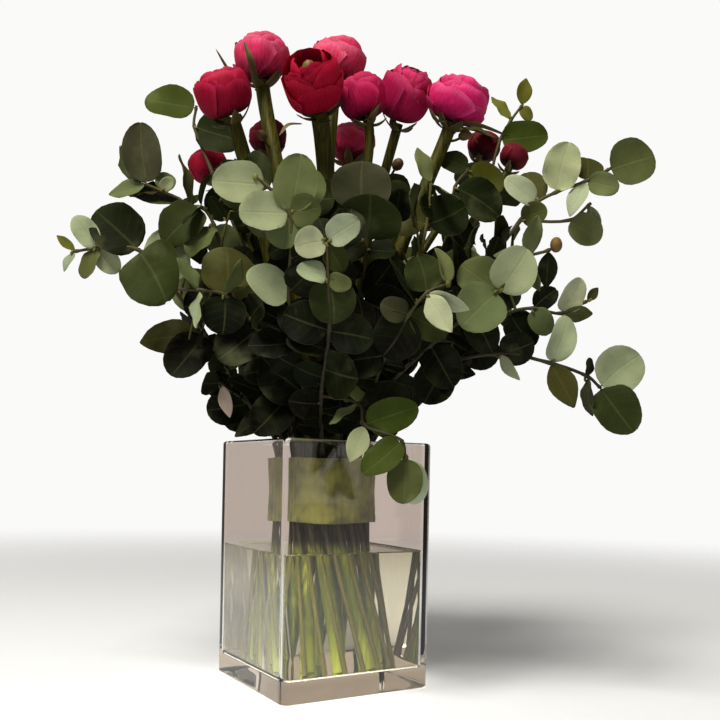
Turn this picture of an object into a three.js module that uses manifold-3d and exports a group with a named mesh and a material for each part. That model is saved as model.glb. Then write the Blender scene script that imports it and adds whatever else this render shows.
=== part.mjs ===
// A hand-tied bouquet of ranunculus and eucalyptus, standing in a square glass vase of water.
// Millimetres, +Z up. The origin is the middle of the vase's underside.
// Flowers and foliage are set out in the bouquet's own frame, which is turned about Z against
// the vase: x runs to the right, y runs away from the bouquet's front, z runs up.
import * as THREE from "three";
import { mergeVertices } from "three/addons/utils/BufferGeometryUtils.js";
import Module from "manifold-3d";

const wasm = await Module();
wasm.setup();

// ---------- Driving dimensions ----------

const FIT = 0.3; // gap between two pieces that touch
const BOUQUET_TURN = THREE.MathUtils.degToRad(-30.8);

const VASE = { side: 100, height: 150, wall: 4, base: 12, corner: 6, bevel: 0.8 };
const WATER_LEVEL = 83;
const HOLE_OVERRUN = 0.1; // a hole in the water runs past its strand's foot by this share

const NECK = { low: 104, high: 142 }; // the binding point, where every strand stands upright
const STEM_RING = 20; // nine ranunculus stems stand on this circle at the neck
const CORE_RING = 7.5; // and three on this one
const TWIG_RING = 27.3; // the eucalyptus twigs stand outside them
const FOOT_SPREAD = 1.5; // below the neck the strands fan out by this much
const FOOT_TWIST = THREE.MathUtils.degToRad(40); // and wind round by this much, as a spiral
const TWIG = { foot: 1.5, tip: 0.9, branch: 1, sides: 5, end: 1.2 };
const UPRIGHT = 3; // a strand's first three sections lie level
const STEM = { sides: 6, sections: 5, rise: 0.35, nod: 0.12, top: 3 };
const WRAP = { low: 100, high: 140, thickness: 2.2, waist: 0.8, flare: 0.6, segments: 18 };

const LEAF = { thickness: 1.3, cup: 0.12, droop: 0.06, root: 0.5, small: 16 };
const LEAF_ROOM = { margin: 0.35, rootFree: 2.6 };
const CALYX = { count: 5, thickness: 1.3, length: 11, notch: 2.2, sink: 4.5, rise: [1.05, 0.2],
  step: 1.5, fullRadius: 17 };
const PETAL = { thickness: 1.3, shoulder: 26, waist: 0.5, columns: 2, spin: 37, smallRadius: 13 };

// Outlines, as shares of a blade's length and width, from the root round to the left.
const LARGE_LEAF = [[0, 0], [0.3, 0.48], [0.78, 0.44], [1, 0], [0.78, -0.44], [0.3, -0.48]];
const SMALL_LEAF = [[0, 0], [0.4, 0.5], [0.92, 0.3], [0.92, -0.3], [0.4, -0.5]];

// A bloom's heart, as shares of its radius and height, and its layers of petals from the outside in.
// A petal's root and lip have their own angle from below (0 is straight down) and share of the
// bloom's radius, so that every root is sunk in the heart and the lips stand off it.
const HEART = [[0, 0], [0.22, 0], [0.5, 0.13], [0.58, 0.42], [0.44, 0.64], [0, 0.74]];
const HEART_SIDES = 7;
const LAYERS = [
  { count: 5, root: 22, close: -12, sizes: [0.5, 0.94, 1], half: 34, tuck: 0.03, turn: 0 },
  { count: 4, root: 40, close: 2, sizes: [0.4, 0.7, 0.76], half: 43, tuck: 0.02, turn: 36 },
];

const COLOURS = {
  glass: { color: 0xc9c2bd, roughness: 0.05, metalness: 0, transparent: true, opacity: 0.35 },
  water: { color: 0xb9b78e, roughness: 0.02, metalness: 0, transparent: true, opacity: 0.4 },
  wrap: { color: 0x6f7438, roughness: 0.7, metalness: 0 },
  stem: { color: 0x8d9a3a, roughness: 0.55, metalness: 0 },
  spray: { color: 0x6f7f57, roughness: 0.6, metalness: 0 },
};

// ---------- What stands where ----------

// One row for each flower: its stem's place at the neck (ring and azimuth), stem radius, the
// middle of the bloom, its radius and height, the way it leans (clock from upright towards
// the right, lean towards the front), how far its petals close, and its colour.
const FLOWERS = [
  { ring: STEM_RING, azimuth: 210, stem: 4.5, at: [-65, -22, 361], radius: 17, height: 29,
    clock: -20, lean: 22, close: 152, color: 0xaa0f50 },
  { ring: STEM_RING, azimuth: 250, stem: 4.5, at: [-47, 10, 399], radius: 17.5, height: 30,
    clock: -6, lean: 5, close: 140, color: 0xd75082 },
  { ring: STEM_RING, azimuth: 290, stem: 5.3, at: [-10, -36, 363], radius: 17.5, height: 36,
    clock: -16, lean: 48, close: 140, color: 0xb40a32 },
  { ring: CORE_RING, azimuth: 150, stem: 4, at: [3, 16, 400], radius: 17, height: 30,
    clock: 5, lean: 0, close: 145, color: 0xd73c78 },
  { ring: CORE_RING, azimuth: 270, stem: 2.9, at: [20, -14, 364], radius: 14, height: 28,
    clock: -14, lean: 6, close: 155, color: 0xb41955 },
  { ring: CORE_RING, azimuth: 30, stem: 3.1, at: [48, 6, 375], radius: 16, height: 36,
    clock: 16, lean: 28, close: 152, color: 0x961446 },
  { ring: STEM_RING, azimuth: 330, stem: 4, at: [80, -14, 364], radius: 19, height: 30,
    clock: 18, lean: 14, close: 132, color: 0xc8286e },
  { ring: STEM_RING, azimuth: 10, stem: 2.5, at: [121, 24, 343], radius: 9, height: 15,
    clock: 22, lean: 0, close: 158, color: 0x8c0a32 },
  { ring: STEM_RING, azimuth: 170, stem: 3, at: [-85, 38, 338], radius: 12.5, height: 21,
    clock: -32, lean: 0, close: 155, color: 0xa01440 },
  { ring: STEM_RING, azimuth: 90, stem: 3.5, at: [13, 52, 361], radius: 15, height: 26,
    clock: 4, lean: -10, close: 140, color: 0xd24182 },
  { ring: STEM_RING, azimuth: 130, stem: 3, at: [-45, 48, 362], radius: 12.5, height: 21,
    clock: -12, lean: -10, close: 155, color: 0x78142d },
  { ring: STEM_RING, azimuth: 50, stem: 2.5, at: [104, 43, 357], radius: 11, height: 18,
    clock: 20, lean: -6, close: 158, color: 0x6e1923 },
];

// One entry for each eucalyptus spray: its azimuth on the twig ring, then its twigs. The first
// twig rises from the vase; each other one starts at a knot of an earlier twig, named by `from`
// as [twig, knot]. A route lists the knots above the neck. A leaf row is [knot, length, width,
// clock, lean, turn]: the way it points (clock from upright towards the right, lean towards the
// front) and how far it is turned about its own midrib from facing the front. A bud row is
// [knot, radius].
const FRONT_SPRAYS = [
  { azimuth: 162, twigs: [{
    route: [[-34, 13, 180], [-54, 14, 268], [-78, 16, 327], [-90, 17, 356], [-89, 17, 368]],
    leaves: [[4, 34, 25, -80, 0, 15], [3, 34, 26, 106, 5, 0], [2, 26, 22, 120, -40, 0],
      [1, 32, 28, -70, -30, 0], [1, 30, 28, 110, -35, 0], [0, 30, 26, -90, -30, 0]],
  }] },
  { azimuth: 180, twigs: [{
    route: [[-42, -6, 175], [-63, -18, 235], [-85, -28, 290], [-100, -30, 298],
      [-108, -31, 301]],
    leaves: [[4, 36, 23, -6, 5, 10], [4, 38, 17, -36, -22, 0], [4, 24, 12, -101, -5, 20],
      [3, 13, 12, 22, -15, 10], [3, 10, 8, 50, 15, 10], [3, 24, 16, -84, 10, 62],
      [2, 39, 20, -71, 0, 50], [1, 32, 28, -75, 10, 0], [1, 30, 26, 40, -5, 0],
      [0, 30, 26, -70, -10, 0]],
  }] },
  { azimuth: 198, twigs: [{
    route: [[-45, -22, 172], [-71, -32, 212], [-91, -40, 240], [-108, -46, 258],
      [-131, -48, 258], [-144, -48, 256]],
    leaves: [[3, 33, 30, -47, 8, 10], [3, 38, 38, 150, 20, 12], [4, 22, 14, -38, 20, 0],
      [4, 19, 15, 140, 20, 20], [4, 20, 14, 194, -10, 30], [5, 14, 6, -50, 0, 20],
      [5, 13, 7, 211, 10, 30], [1, 42, 21, -96, -8, 0], [1, 33, 26, -146, 20, 10],
      [2, 31, 28, -12, 15, 0], [0, 26, 22, -100, 5, 0]],
  }, {
    from: [0, 0],
    route: [[-61, -30, 183]],
    leaves: [[0, 21, 9, 165, 10, 20]],
  }] },
  { azimuth: 216, twigs: [{
    route: [[-34, -26, 174], [-52, -40, 231], [-65, -44, 274], [-72, -44, 284],
      [-80, -42, 285]],
    leaves: [[4, 31, 16, -6, 0, 78], [4, 15, 12, 8, -18, 0], [3, 28, 20, 78, -5, 10],
      [3, 30, 25, -135, 5, 10], [2, 25, 17, -145, 15, 30], [2, 22, 20, 150, -10, 10],
      [1, 30, 26, -100, 10, 0], [1, 30, 26, 140, 0, 0], [3, 28, 10, 208, 24, 40]],
  }] },
  { azimuth: 234, twigs: [{
    route: [[-22, -38, 173], [-37, -54, 212], [-55, -60, 230], [-69, -62, 232],
      [-80, -63, 232]],
    leaves: [[3, 22, 10, 186, 15, 45], [3, 21, 12, -34, 10, 50], [2, 27, 29, 0, 0, 8],
      [2, 22, 25, 182, 5, 0], [2, 23, 10, 24, 18, 55], [1, 28, 30, 75, 8, 0],
      [1, 28, 26, -130, 10, 10], [0, 35, 14, -70, 12, 25], [0, 36, 15, -125, 5, 20],
      [0, 30, 24, -142, 28, 0]],
  }] },
  { azimuth: 252, twigs: [{
    route: [[-10, -44, 176], [-18, -68, 226], [-17, -74, 257], [-18, -76, 272],
      [-31, -76, 287], [-37, -77, 291]],
    leaves: [[4, 29, 23, -88, 10, 0], [3, 31, 24, 11, 15, 0], [3, 31, 22, 27, -15, 0],
      [3, 27, 23, -92, 18, 12], [3, 17, 18, 75, 20, 10], [3, 19, 22, 195, 8, 0],
      [2, 24, 17, -75, 10, 20], [1, 27, 22, -57, 15, 20], [1, 22, 24, 150, 5, 0],
      [0, 32, 30, -50, 10, 0], [0, 30, 28, 60, 10, 0]],
    buds: [[5, 1.8]],
  }] },
  { azimuth: 270, twigs: [{
    route: [[0, -52, 175], [5, -78, 208], [4, -86, 235], [3, -88, 254]],
    leaves: [[3, 20, 16, 60, 15, 0], [3, 17, 17, -105, 12, 0], [3, 14, 11, -20, -10, 0],
      [3, 18, 13, 150, -12, 0], [2, 17, 14, -78, 22, 25], [2, 13, 10, 112, 15, 20],
      [2, 24, 25, 172, -8, 0], [1, 26, 24, -70, 0, 0], [1, 24, 22, 100, 0, 0]],
  }, {
    from: [0, 0],
    route: [[22, -60, 170], [25, -67, 158], [37, -71, 153], [46, -72, 149], [48, -71, 140]],
    leaves: [[0, 21, 13, -9, 0, 25], [1, 31, 20, 72, 15, 10], [0, 20, 10, -123, 5, 60],
      [1, 22, 13, 200, 10, 10], [3, 28, 18, -130, 12, 20], [4, 25, 20, 184, 12, 10],
      [4, 27, 17, 164, -6, 0]],
    buds: [[4, 1.8]],
  }] },
  { azimuth: 288, twigs: [{
    route: [[13, -34, 177], [22, -50, 231], [24, -56, 263], [22, -58, 278]],
    leaves: [[3, 30, 34, -2, 0, 0], [2, 26, 37, 5, 35, 0], [2, 28, 22, -120, 5, 20],
      [1, 34, 20, 40, 10, 30], [1, 30, 28, 110, 0, 0], [1, 28, 26, -90, -5, 0],
      [0, 30, 28, 60, 0, 0]],
  }] },
  { azimuth: 306, twigs: [{
    route: [[26, -46, 168], [61, -66, 203], [82, -74, 220], [96, -78, 231], [111, -76, 250],
      [124, -75, 255], [128, -75, 258]],
    leaves: [[3, 28, 28, -135, 18, 0], [3, 27, 25, 35, 12, 10], [3, 27, 23, -48, -18, 0],
      [4, 24, 12, 17, 5, 25], [4, 17, 9, -78, -10, 20], [4, 19, 9, 158, 5, 40],
      [5, 20, 11, 180, -15, 10], [2, 24, 18, 150, 0, 10], [1, 26, 22, 150, 5, 0]],
    buds: [[6, 3.4]],
  }, {
    from: [0, 0],
    route: [[36, -72, 196], [48, -82, 217], [57, -86, 228], [68, -86, 233]],
    leaves: [[2, 20, 21, -16, 5, 0], [3, 20, 13, -12, 0, 20], [2, 24, 11, 118, 15, 40],
      [2, 26, 14, 151, 20, 20], [1, 16, 14, -72, 10, 0], [1, 26, 26, -148, 5, 0],
      [1, 24, 18, 120, -12, 0], [0, 26, 22, -100, 0, 0]],
    buds: [[3, 1.8]],
  }] },
  { azimuth: 324, twigs: [{
    route: [[34, -34, 166], [69, -52, 193], [100, -60, 200], [129, -62, 195], [150, -62, 188],
      [157, -62, 182]],
    leaves: [[5, 28, 27, 50, 10, 0], [5, 31, 26, 146, 15, 0], [4, 22, 12, 180, 5, 72],
      [4, 10, 10, 5, 5, 50], [3, 27, 17, 22, 10, 20], [3, 28, 16, 153, 10, 10],
      [2, 20, 19, 72, 10, 0], [2, 19, 8, 148, 20, 40], [1, 23, 23, -155, 10, 0],
      [1, 18, 17, 60, 5, 0], [1, 20, 10, 105, 10, 20]],
  }] },
  { azimuth: 342, twigs: [{
    route: [[42, -20, 170], [78, -36, 211], [108, -46, 226], [121, -50, 228], [137, -52, 225],
      [151, -53, 232]],
    leaves: [[4, 22, 14, 28, 10, 10], [4, 18, 10, 84, 0, 30], [3, 19, 13, 50, -12, 0],
      [3, 17, 14, 150, 5, 20], [2, 24, 20, 140, -5, 0], [2, 26, 22, -20, -15, 0],
      [1, 28, 24, 110, 0, 0], [1, 28, 26, -30, -10, 0], [5, 10, 6, 40, 0, 10]],
  }, {
    from: [0, 0],
    route: [[52, -28, 236], [60, -33, 280], [62, -34, 304]],
    leaves: [[2, 22, 11, -22, 10, 20], [1, 28, 26, 60, -10, 0], [1, 26, 24, -70, -10, 0],
      [0, 30, 28, 100, 0, 0], [0, 28, 26, -60, 5, 0], [2, 28, 14, 133, 10, 78]],
  }] },
  { azimuth: 0, twigs: [{
    route: [[48, -6, 177], [88, -22, 243], [116, -32, 284], [125, -34, 294], [136, -35, 300],
      [154, -36, 307], [167, -36, 314]],
    leaves: [[6, 28, 28, 72, 5, 0], [5, 17, 18, 5, -15, 0], [5, 19, 14, 105, 10, 10],
      [4, 29, 22, 13, 0, 0], [5, 24, 12, 208, 12, 30], [3, 22, 18, -13, -15, 0],
      [3, 23, 15, -55, 15, 10], [2, 16, 14, 60, 18, 10], [1, 30, 26, -20, -10, 0],
      [1, 28, 24, 120, 0, 0]],
  }, {
    from: [0, 2],
    route: [[147, -24, 287], [160, -20, 298]],
    leaves: [[0, 22, 19, 120, 5, 0], [1, 20, 10, 165, 5, 50]],
  }] },
  { azimuth: 18, twigs: [{
    route: [[42, 9, 185], [66, 0, 251], [77, -4, 292], [79, -9, 311], [87, -9, 322]],
    leaves: [[3, 33, 25, 122, 5, 0], [4, 26, 18, 108, -18, 0], [4, 20, 14, -60, -5, 0],
      [2, 26, 24, -70, -20, 0], [2, 24, 22, 150, -25, 0], [1, 30, 28, 60, -20, 0],
      [1, 28, 26, -60, -20, 0]],
  }] },
  { azimuth: 36, twigs: [{
    route: [[40, 26, 190], [79, 24, 266], [104, 26, 324], [112, 27, 355], [119, 27, 368],
      [126, 27, 378]],
    leaves: [[5, 19, 11, 10, 0, 10], [5, 11, 8, 147, 5, 10], [4, 20, 9, -38, 5, 20],
      [3, 32, 22, 82, 5, 0], [3, 30, 14, -70, 5, 60], [2, 28, 20, 100, -10, 0],
      [2, 24, 20, -60, -10, 0], [1, 30, 26, 90, -20, 0], [1, 28, 24, -60, -20, 0]],
  }] },
];

// The back of the bouquet, seen in no one's picture, is set out by rule: each spray runs from
// its azimuth at the neck to a tip azimuth, reach and height, with pairs of leaves.
const BACK_SPRAYS = [
  { azimuth: 54, tipAzimuth: 42, reach: 122, height: 285 },
  { azimuth: 72, tipAzimuth: 62, reach: 104, height: 232 },
  { azimuth: 90, tipAzimuth: 84, reach: 96, height: 305 },
  { azimuth: 108, tipAzimuth: 108, reach: 112, height: 236 },
  { azimuth: 126, tipAzimuth: 128, reach: 98, height: 315 },
  { azimuth: 144, tipAzimuth: 150, reach: 124, height: 262 },
];
const BACK = { root: 36, start: 178, knots: 5, seed: 4711, first: 34, last: 17, bow: 0.16 };

// A leaf that would touch something is bent clear by the first of these that serves:
// [clock, lean, turn, size], the angles in degrees. A leaf that none clears is left out.
const BENDS = [
  [0, 0, 0, 1], [8, 0, 0, 1], [-8, 0, 0, 1], [0, 12, 0, 1], [0, -12, 0, 1], [0, 0, 25, 1],
  [0, 0, -25, 1], [14, 12, 0, 0.95], [-14, 12, 0, 0.95], [14, -12, 0, 0.95],
  [-14, -12, 0, 0.95], [0, 25, 20, 0.9], [0, -25, -20, 0.9], [20, 20, 30, 0.85],
  [-20, -20, -30, 0.85], [-20, 20, 40, 0.8], [20, -20, -40, 0.8], [0, 40, 0, 0.75],
  [0, -40, 0, 0.75], [32, 0, 60, 0.7], [-32, 0, -60, 0.7], [40, 30, 20, 0.65],
  [-40, -30, -20, 0.65],
];

// ---------- Solids ----------

const { degToRad, lerp } = THREE.MathUtils;
const vector = (point) => new THREE.Vector3(...point);
const UP = new THREE.Vector3(0, 0, 1);

// A closed geometry as a solid that can be joined and cut.
function solidOf(geometry) {
  const bare = geometry.clone();
  bare.deleteAttribute("normal");
  bare.deleteAttribute("uv");
  const merged = mergeVertices(bare, 1e-4);
  const corners = merged.index.array;
  const triVerts = [];
  for (let i = 0; i < corners.length; i += 3) {
    const [a, b, c] = corners.slice(i, i + 3);
    if (a !== b && b !== c && c !== a) triVerts.push(a, b, c);
  }
  return new wasm.Manifold(
    new wasm.Mesh({
      numProp: 3,
      vertProperties: merged.attributes.position.array,
      triVerts: new Uint32Array(triVerts),
    }),
  );
}

function geometryOf(solid) {
  const mesh = solid.getMesh();
  const geometry = new THREE.BufferGeometry();
  geometry.setAttribute("position", new THREE.BufferAttribute(mesh.vertProperties, 3));
  geometry.setIndex(new THREE.BufferAttribute(mesh.triVerts, 1));
  geometry.computeVertexNormals();
  return geometry;
}

function geometryFrom(points, triangles) {
  const geometry = new THREE.BufferGeometry();
  geometry.setAttribute(
    "position",
    new THREE.Float32BufferAttribute(points.flatMap((p) => p.toArray()), 3),
  );
  geometry.setIndex(triangles);
  return geometry;
}

function boundsOf(solid) {
  const { min, max } = solid.boundingBox();
  return new THREE.Box3(vector(min), vector(max));
}

const turned = (solid, angle) => solidOf(geometryOf(solid).rotateZ(angle));
const joined = (solids) => solids.reduce((whole, solid) => whole.add(solid));

// Straight runs from point to point. The section lies level at the first few points, as many as
// `level` says, and on the bisector at the others.
class Centreline extends THREE.Curve {
  constructor(points, level) {
    super();
    this.points = points;
    this.level = level;
  }

  getPoint(t, target = new THREE.Vector3()) {
    const place = t * (this.points.length - 1);
    const i = Math.min(Math.floor(place), this.points.length - 2);
    return target.lerpVectors(this.points[i], this.points[i + 1], place - i);
  }

  getTangentAt(t, target = new THREE.Vector3()) {
    const last = this.points.length - 1;
    const i = Math.round(t * last);
    if (i < this.level) return target.copy(UP);
    const run = (a, b) => this.points[b].clone().sub(this.points[a]).normalize();
    target.set(0, 0, 0);
    if (i > 0) target.add(run(i - 1, i));
    if (i < last) target.add(run(i, i + 1));
    return target.normalize();
  }
}

// A closed round bar along a centreline, its radius running from the first to the last value.
function bar(points, [first, last], sides, level = 0) {
  const line = new Centreline(points, level);
  const sections = points.length - 1;
  const frames = line.computeFrenetFrames(sections);
  const geometry = new THREE.CylinderGeometry(1, 1, 1, sides, sections);
  const position = geometry.attributes.position;
  for (let i = 0; i < position.count; i++) {
    const ring = Math.round((position.getY(i) + 0.5) * sections);
    const radius = lerp(first, last, ring / sections);
    const point = points[ring]
      .clone()
      .addScaledVector(frames.binormals[ring], position.getX(i) * radius)
      .addScaledVector(frames.normals[ring], position.getZ(i) * radius);
    position.setXYZ(i, point.x, point.y, point.z);
  }
  return solidOf(geometry);
}

// A thin shell over a grid of points, rows by columns. It is thickened both ways along its
// normals, except at its two sides and its last row, where the faces meet in a sharp rim.
function shell(grid, thickness) {
  const rows = grid.length;
  const columns = grid[0].length;
  const clampTo = (value, most) => Math.max(0, Math.min(most, value));
  const face = (sign) =>
    grid.flatMap((row, r) =>
      row.map((point, c) => {
        const [next, last] = [clampTo(c + 1, columns - 1), clampTo(c - 1, columns - 1)];
        const across = row[next].clone().sub(row[last]);
        const up = grid[clampTo(r + 1, rows - 1)][c].clone().sub(grid[clampTo(r - 1, rows - 1)][c]);
        const isRim = r === rows - 1 || c === 0 || c === columns - 1;
        const depth = isRim ? 0 : (sign * thickness) / 2;
        return point.clone().addScaledVector(across.cross(up).normalize(), depth);
      }),
    );
  const back = rows * columns;
  const triangles = [];
  for (let r = 0; r < rows - 1; r++)
    for (let c = 0; c < columns - 1; c++) {
      const [a, b] = [r * columns + c, r * columns + c + 1];
      const [d, e] = [a + columns, b + columns];
      // The back face is split along the same diagonal as the front.
      triangles.push(a, b, e, a, e, d, back + a, back + e, back + b, back + a, back + d, back + e);
    }
  for (let c = 0; c < columns - 1; c++)
    triangles.push(c + 1, c, back + c, c + 1, back + c, back + c + 1);
  return geometryFrom([...face(1), ...face(-1)], triangles);
}

// ---------- The vase and what it holds ----------

function roundedSquare(half, corner) {
  const shape = new THREE.Shape();
  const quarter = Math.PI / 2;
  [[1, 1], [-1, 1], [-1, -1], [1, -1]].forEach(([x, y], i) => {
    const centre = [x * (half - corner), y * (half - corner)];
    shape.absarc(...centre, corner, i * quarter, (i + 1) * quarter);
  });
  return shape;
}

// A prism on a rounded square, with its end edges bevelled when a bevel is given.
function prism(half, corner, bottom, top, bevel = 0) {
  const geometry = new THREE.ExtrudeGeometry(roundedSquare(half - bevel, corner - bevel), {
    depth: top - bottom - 2 * bevel,
    curveSegments: 2,
    bevelEnabled: bevel > 0,
    bevelThickness: bevel,
    bevelSize: bevel,
    bevelSegments: 1,
  });
  return geometry.translate(0, 0, bottom + bevel);
}

function vaseSolid() {
  const { side, height, wall, base, corner, bevel } = VASE;
  const outside = solidOf(prism(side / 2, corner, 0, height, bevel));
  const hollow = solidOf(prism(side / 2 - wall, corner - wall / 2, base, height + 1));
  return outside.subtract(hollow);
}

// The water fills the vase to its level and has a plain hole round every strand.
function waterSolid(strands) {
  const { side, wall, base, corner } = VASE;
  const half = side / 2 - wall - FIT;
  const body = solidOf(prism(half, corner - wall / 2 - FIT, base + FIT, WATER_LEVEL));
  return strands.reduce((water, strand) => {
    const [foot, low, high] = strand.points;
    const below = foot.clone().addScaledVector(low.clone().sub(foot), -HOLE_OVERRUN);
    const radius = strand.radius + FIT;
    const hole = bar([below, low, high], [radius, radius], strand.sides, UPRIGHT);
    return water.subtract(turned(hole, BOUQUET_TURN));
  }, body);
}

// The soft band that ties the stems: a ring, waisted at its middle, just clear of the twigs.
function wrapSolid() {
  const { low, high, thickness, waist, flare, segments } = WRAP;
  const inner = (TWIG_RING + TWIG.foot + FIT) / Math.cos(Math.PI / segments);
  const middle = (low + high) / 2;
  const profile = [
    [inner + flare, low], [inner + thickness + waist, low], [inner + thickness, middle],
    [inner + thickness + waist, high], [inner, high], [inner, NECK.low + flare],
    [inner + flare, low],
  ].map(([x, y]) => new THREE.Vector2(x, y));
  return solidOf(new THREE.LatheGeometry(profile, segments).rotateX(Math.PI / 2));
}

// ---------- Strands ----------

// The way a thing points: clock turns it from upright towards the right, lean towards the front.
function pointing(clock, lean) {
  const [c, l] = [degToRad(clock), degToRad(lean)];
  return new THREE.Vector3(Math.cos(l) * Math.sin(c), -Math.sin(l), Math.cos(l) * Math.cos(c));
}

function onCircle(radius, angle, height) {
  return new THREE.Vector3(radius * Math.cos(angle), radius * Math.sin(angle), height);
}

// A strand's foot on the vase's floor, and the two ends of its upright run through the binding.
function strandFoot(ring, azimuth) {
  const angle = degToRad(azimuth);
  return [
    onCircle(ring * FOOT_SPREAD, angle + FOOT_TWIST, VASE.base + FIT),
    onCircle(ring, angle, NECK.low),
    onCircle(ring, angle, NECK.high),
  ];
}

// ---------- Blades ----------

// A thin plate: points in a ring round a middle one. Both faces stand half a thickness off the
// points along Z, one thickness for the middle and one for the rim, which is sharp at 0.
function plate([middle, ...ring], thickness, rim) {
  const face = (sign) => [
    middle.clone().setZ(middle.z + (sign * thickness) / 2),
    ...ring.map((point) => point.clone().setZ(point.z + (sign * rim) / 2)),
  ];
  const back = ring.length + 1;
  const triangles = ring.flatMap((_, i) => {
    const [a, b] = [i + 1, ((i + 1) % ring.length) + 1];
    return [0, a, b, back, back + b, back + a, back + a, back + b, b, back + a, b, a];
  });
  return geometryFrom([...face(1), ...face(-1)], triangles);
}

// A leaf's points, its two long edges raised and its tip drooping: the middle, then its outline.
// An outline row is [along, across], as shares of the length and the width.
function leafPoints(outline, length, width) {
  return [[0.5, 0], ...outline].map(([along, across]) => {
    const rise = width * LEAF.cup * (2 * across) ** 2 - length * LEAF.droop * along ** 2;
    return new THREE.Vector3(across * width, LEAF.root + along * length, rise);
  });
}

// The room that a leaf needs round it, which starts clear of its root.
function leafRoom(outline, length, width) {
  const { margin, rootFree } = LEAF_ROOM;
  const points = leafPoints(outline, length + margin, width + 2 * margin);
  points[1].y += rootFree;
  return plate(points, LEAF.thickness + 2 * margin, 2 * margin);
}

// A leaf at a point, facing the way given. `place` is its [clock, lean, turn] in degrees.
function leafMatrix(at, facing, [clock, lean, turn]) {
  const along = UP.clone().applyAxisAngle(facing, degToRad(-clock));
  const side = along.clone().cross(facing).normalize();
  along.applyAxisAngle(side, degToRad(lean));
  side.applyAxisAngle(along, degToRad(turn));
  return new THREE.Matrix4().makeBasis(side, along, side.clone().cross(along)).setPosition(at);
}

// A leaf's place and shape once it is bent: [matrix, outline, length, width].
function bentLeaf(leaf, [clock, lean, turn, size]) {
  const place = [leaf.clock + clock, leaf.lean + lean, leaf.turn + turn];
  const outline = leaf.length < LEAF.small ? SMALL_LEAF : LARGE_LEAF;
  const matrix = leafMatrix(leaf.at, leaf.facing, place);
  return [matrix, outline, leaf.length * size, leaf.width * size];
}

function leafSolid([matrix, ...shape]) {
  return solidOf(plate(leafPoints(...shape), LEAF.thickness, 0).applyMatrix4(matrix));
}

function leafRoomSolid([matrix, ...shape]) {
  return solidOf(leafRoom(...shape).applyMatrix4(matrix));
}

// ---------- Ranunculus ----------

// Stands what was built round Z on an axis, after a spin about it.
function facingMatrix(axis, spin, position) {
  return new THREE.Matrix4()
    .makeRotationFromQuaternion(new THREE.Quaternion().setFromUnitVectors(UP, axis))
    .multiply(new THREE.Matrix4().makeRotationZ(spin))
    .setPosition(position);
}

// The flower's axis and the two faces that meet on it: the stem's end and the bloom's underside.
function flowerAxis({ at, height, clock, lean }) {
  const axis = pointing(clock, lean);
  const base = vector(at).addScaledVector(axis, -height / 2);
  return { axis, base, stemEnd: base.clone().addScaledVector(axis, -FIT) };
}

function stemPoints(flower) {
  const { axis, stemEnd } = flowerAxis(flower);
  const lower = strandFoot(flower.ring, flower.azimuth);
  const start = lower[2];
  const span = start.distanceTo(stemEnd);
  const curve = new THREE.CubicBezierCurve3(
    start,
    start.clone().addScaledVector(UP, STEM.rise * span),
    stemEnd.clone().addScaledVector(axis, -STEM.nod * span - STEM.top),
    stemEnd.clone().addScaledVector(axis, -STEM.top),
  );
  return [...lower, ...curve.getPoints(STEM.sections).slice(1), stemEnd];
}

// A stem, with the star of pointed sepals that cups its bloom, each rising by its own share.
function stemSolid(flower, index, points) {
  const { axis, stemEnd } = flowerAxis(flower);
  const size = Math.min(1, flower.radius / CALYX.fullRadius);
  const star = Array.from({ length: 2 * CALYX.count }, (_, i) => {
    const angle = degToRad(index * PETAL.spin) + (i * Math.PI) / CALYX.count;
    const reach = (i % 2 ? CALYX.notch : CALYX.length) * size;
    const rise = lerp(...CALYX.rise, ((i * CALYX.step) % CALYX.count) / CALYX.count);
    return onCircle(flower.stem + reach, angle, reach * rise);
  });
  const geometry = plate([onCircle(0, 0, 0), ...star], CALYX.thickness, 0);
  const root = stemEnd.clone().addScaledVector(axis, -CALYX.sink);
  const calyx = solidOf(geometry.applyMatrix4(facingMatrix(axis, 0, root)));
  return bar(points, [flower.stem, flower.stem], STEM.sides, UPRIGHT).add(calyx);
}

// One petal of a layer: a patch of an ellipsoid that stands on the bloom's underside, one edge a
// little outside the layer and the other a little inside, so that neighbours tuck together.
function petal(radius, height, layer, close, turn) {
  const grid = layer.sizes.map((size, row) =>
    Array.from({ length: PETAL.columns + 1 }, (_, column) => {
      const across = (2 * column) / PETAL.columns - 1;
      const up = row / (layer.sizes.length - 1);
      const polar = degToRad(lerp(layer.root, close - PETAL.shoulder * across ** 2, up));
      const azimuth = degToRad(turn + across * layer.half * (row ? 1 : PETAL.waist));
      const girth = radius * size * Math.sin(polar) * (1 + layer.tuck * across);
      const rise = (height / 2) * (1 - size * Math.cos(polar));
      return onCircle(girth, azimuth, rise);
    }),
  );
  return solidOf(shell(grid, PETAL.thickness));
}

// A bloom: layers of petals round a heart that carries them.
function bloomSolid(flower, index) {
  const { axis, base } = flowerAxis(flower);
  const { radius, height } = flower;
  const heart = HEART.map(([x, z]) => new THREE.Vector2(x * radius, z * height));
  const core = solidOf(new THREE.LatheGeometry(heart, HEART_SIDES).rotateX(Math.PI / 2));
  const layers = radius < PETAL.smallRadius ? LAYERS.slice(0, 1) : LAYERS;
  const petals = layers.flatMap((layer) =>
    Array.from({ length: layer.count }, (_, i) => {
      const turn = layer.turn + (i * 360) / layer.count;
      return petal(radius, height, layer, flower.close + layer.close, turn);
    }),
  );
  const matrix = facingMatrix(axis, degToRad(index * PETAL.spin), base);
  return solidOf(geometryOf(joined([core, ...petals])).applyMatrix4(matrix));
}

// ---------- Eucalyptus ----------

// Repeatable draws between two values.
class Draws {
  constructor(seed) {
    this.state = seed;
  }

  between(low, high) {
    this.state = (this.state * 16807) % 2147483647;
    return lerp(low, high, this.state / 2147483647);
  }
}

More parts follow.
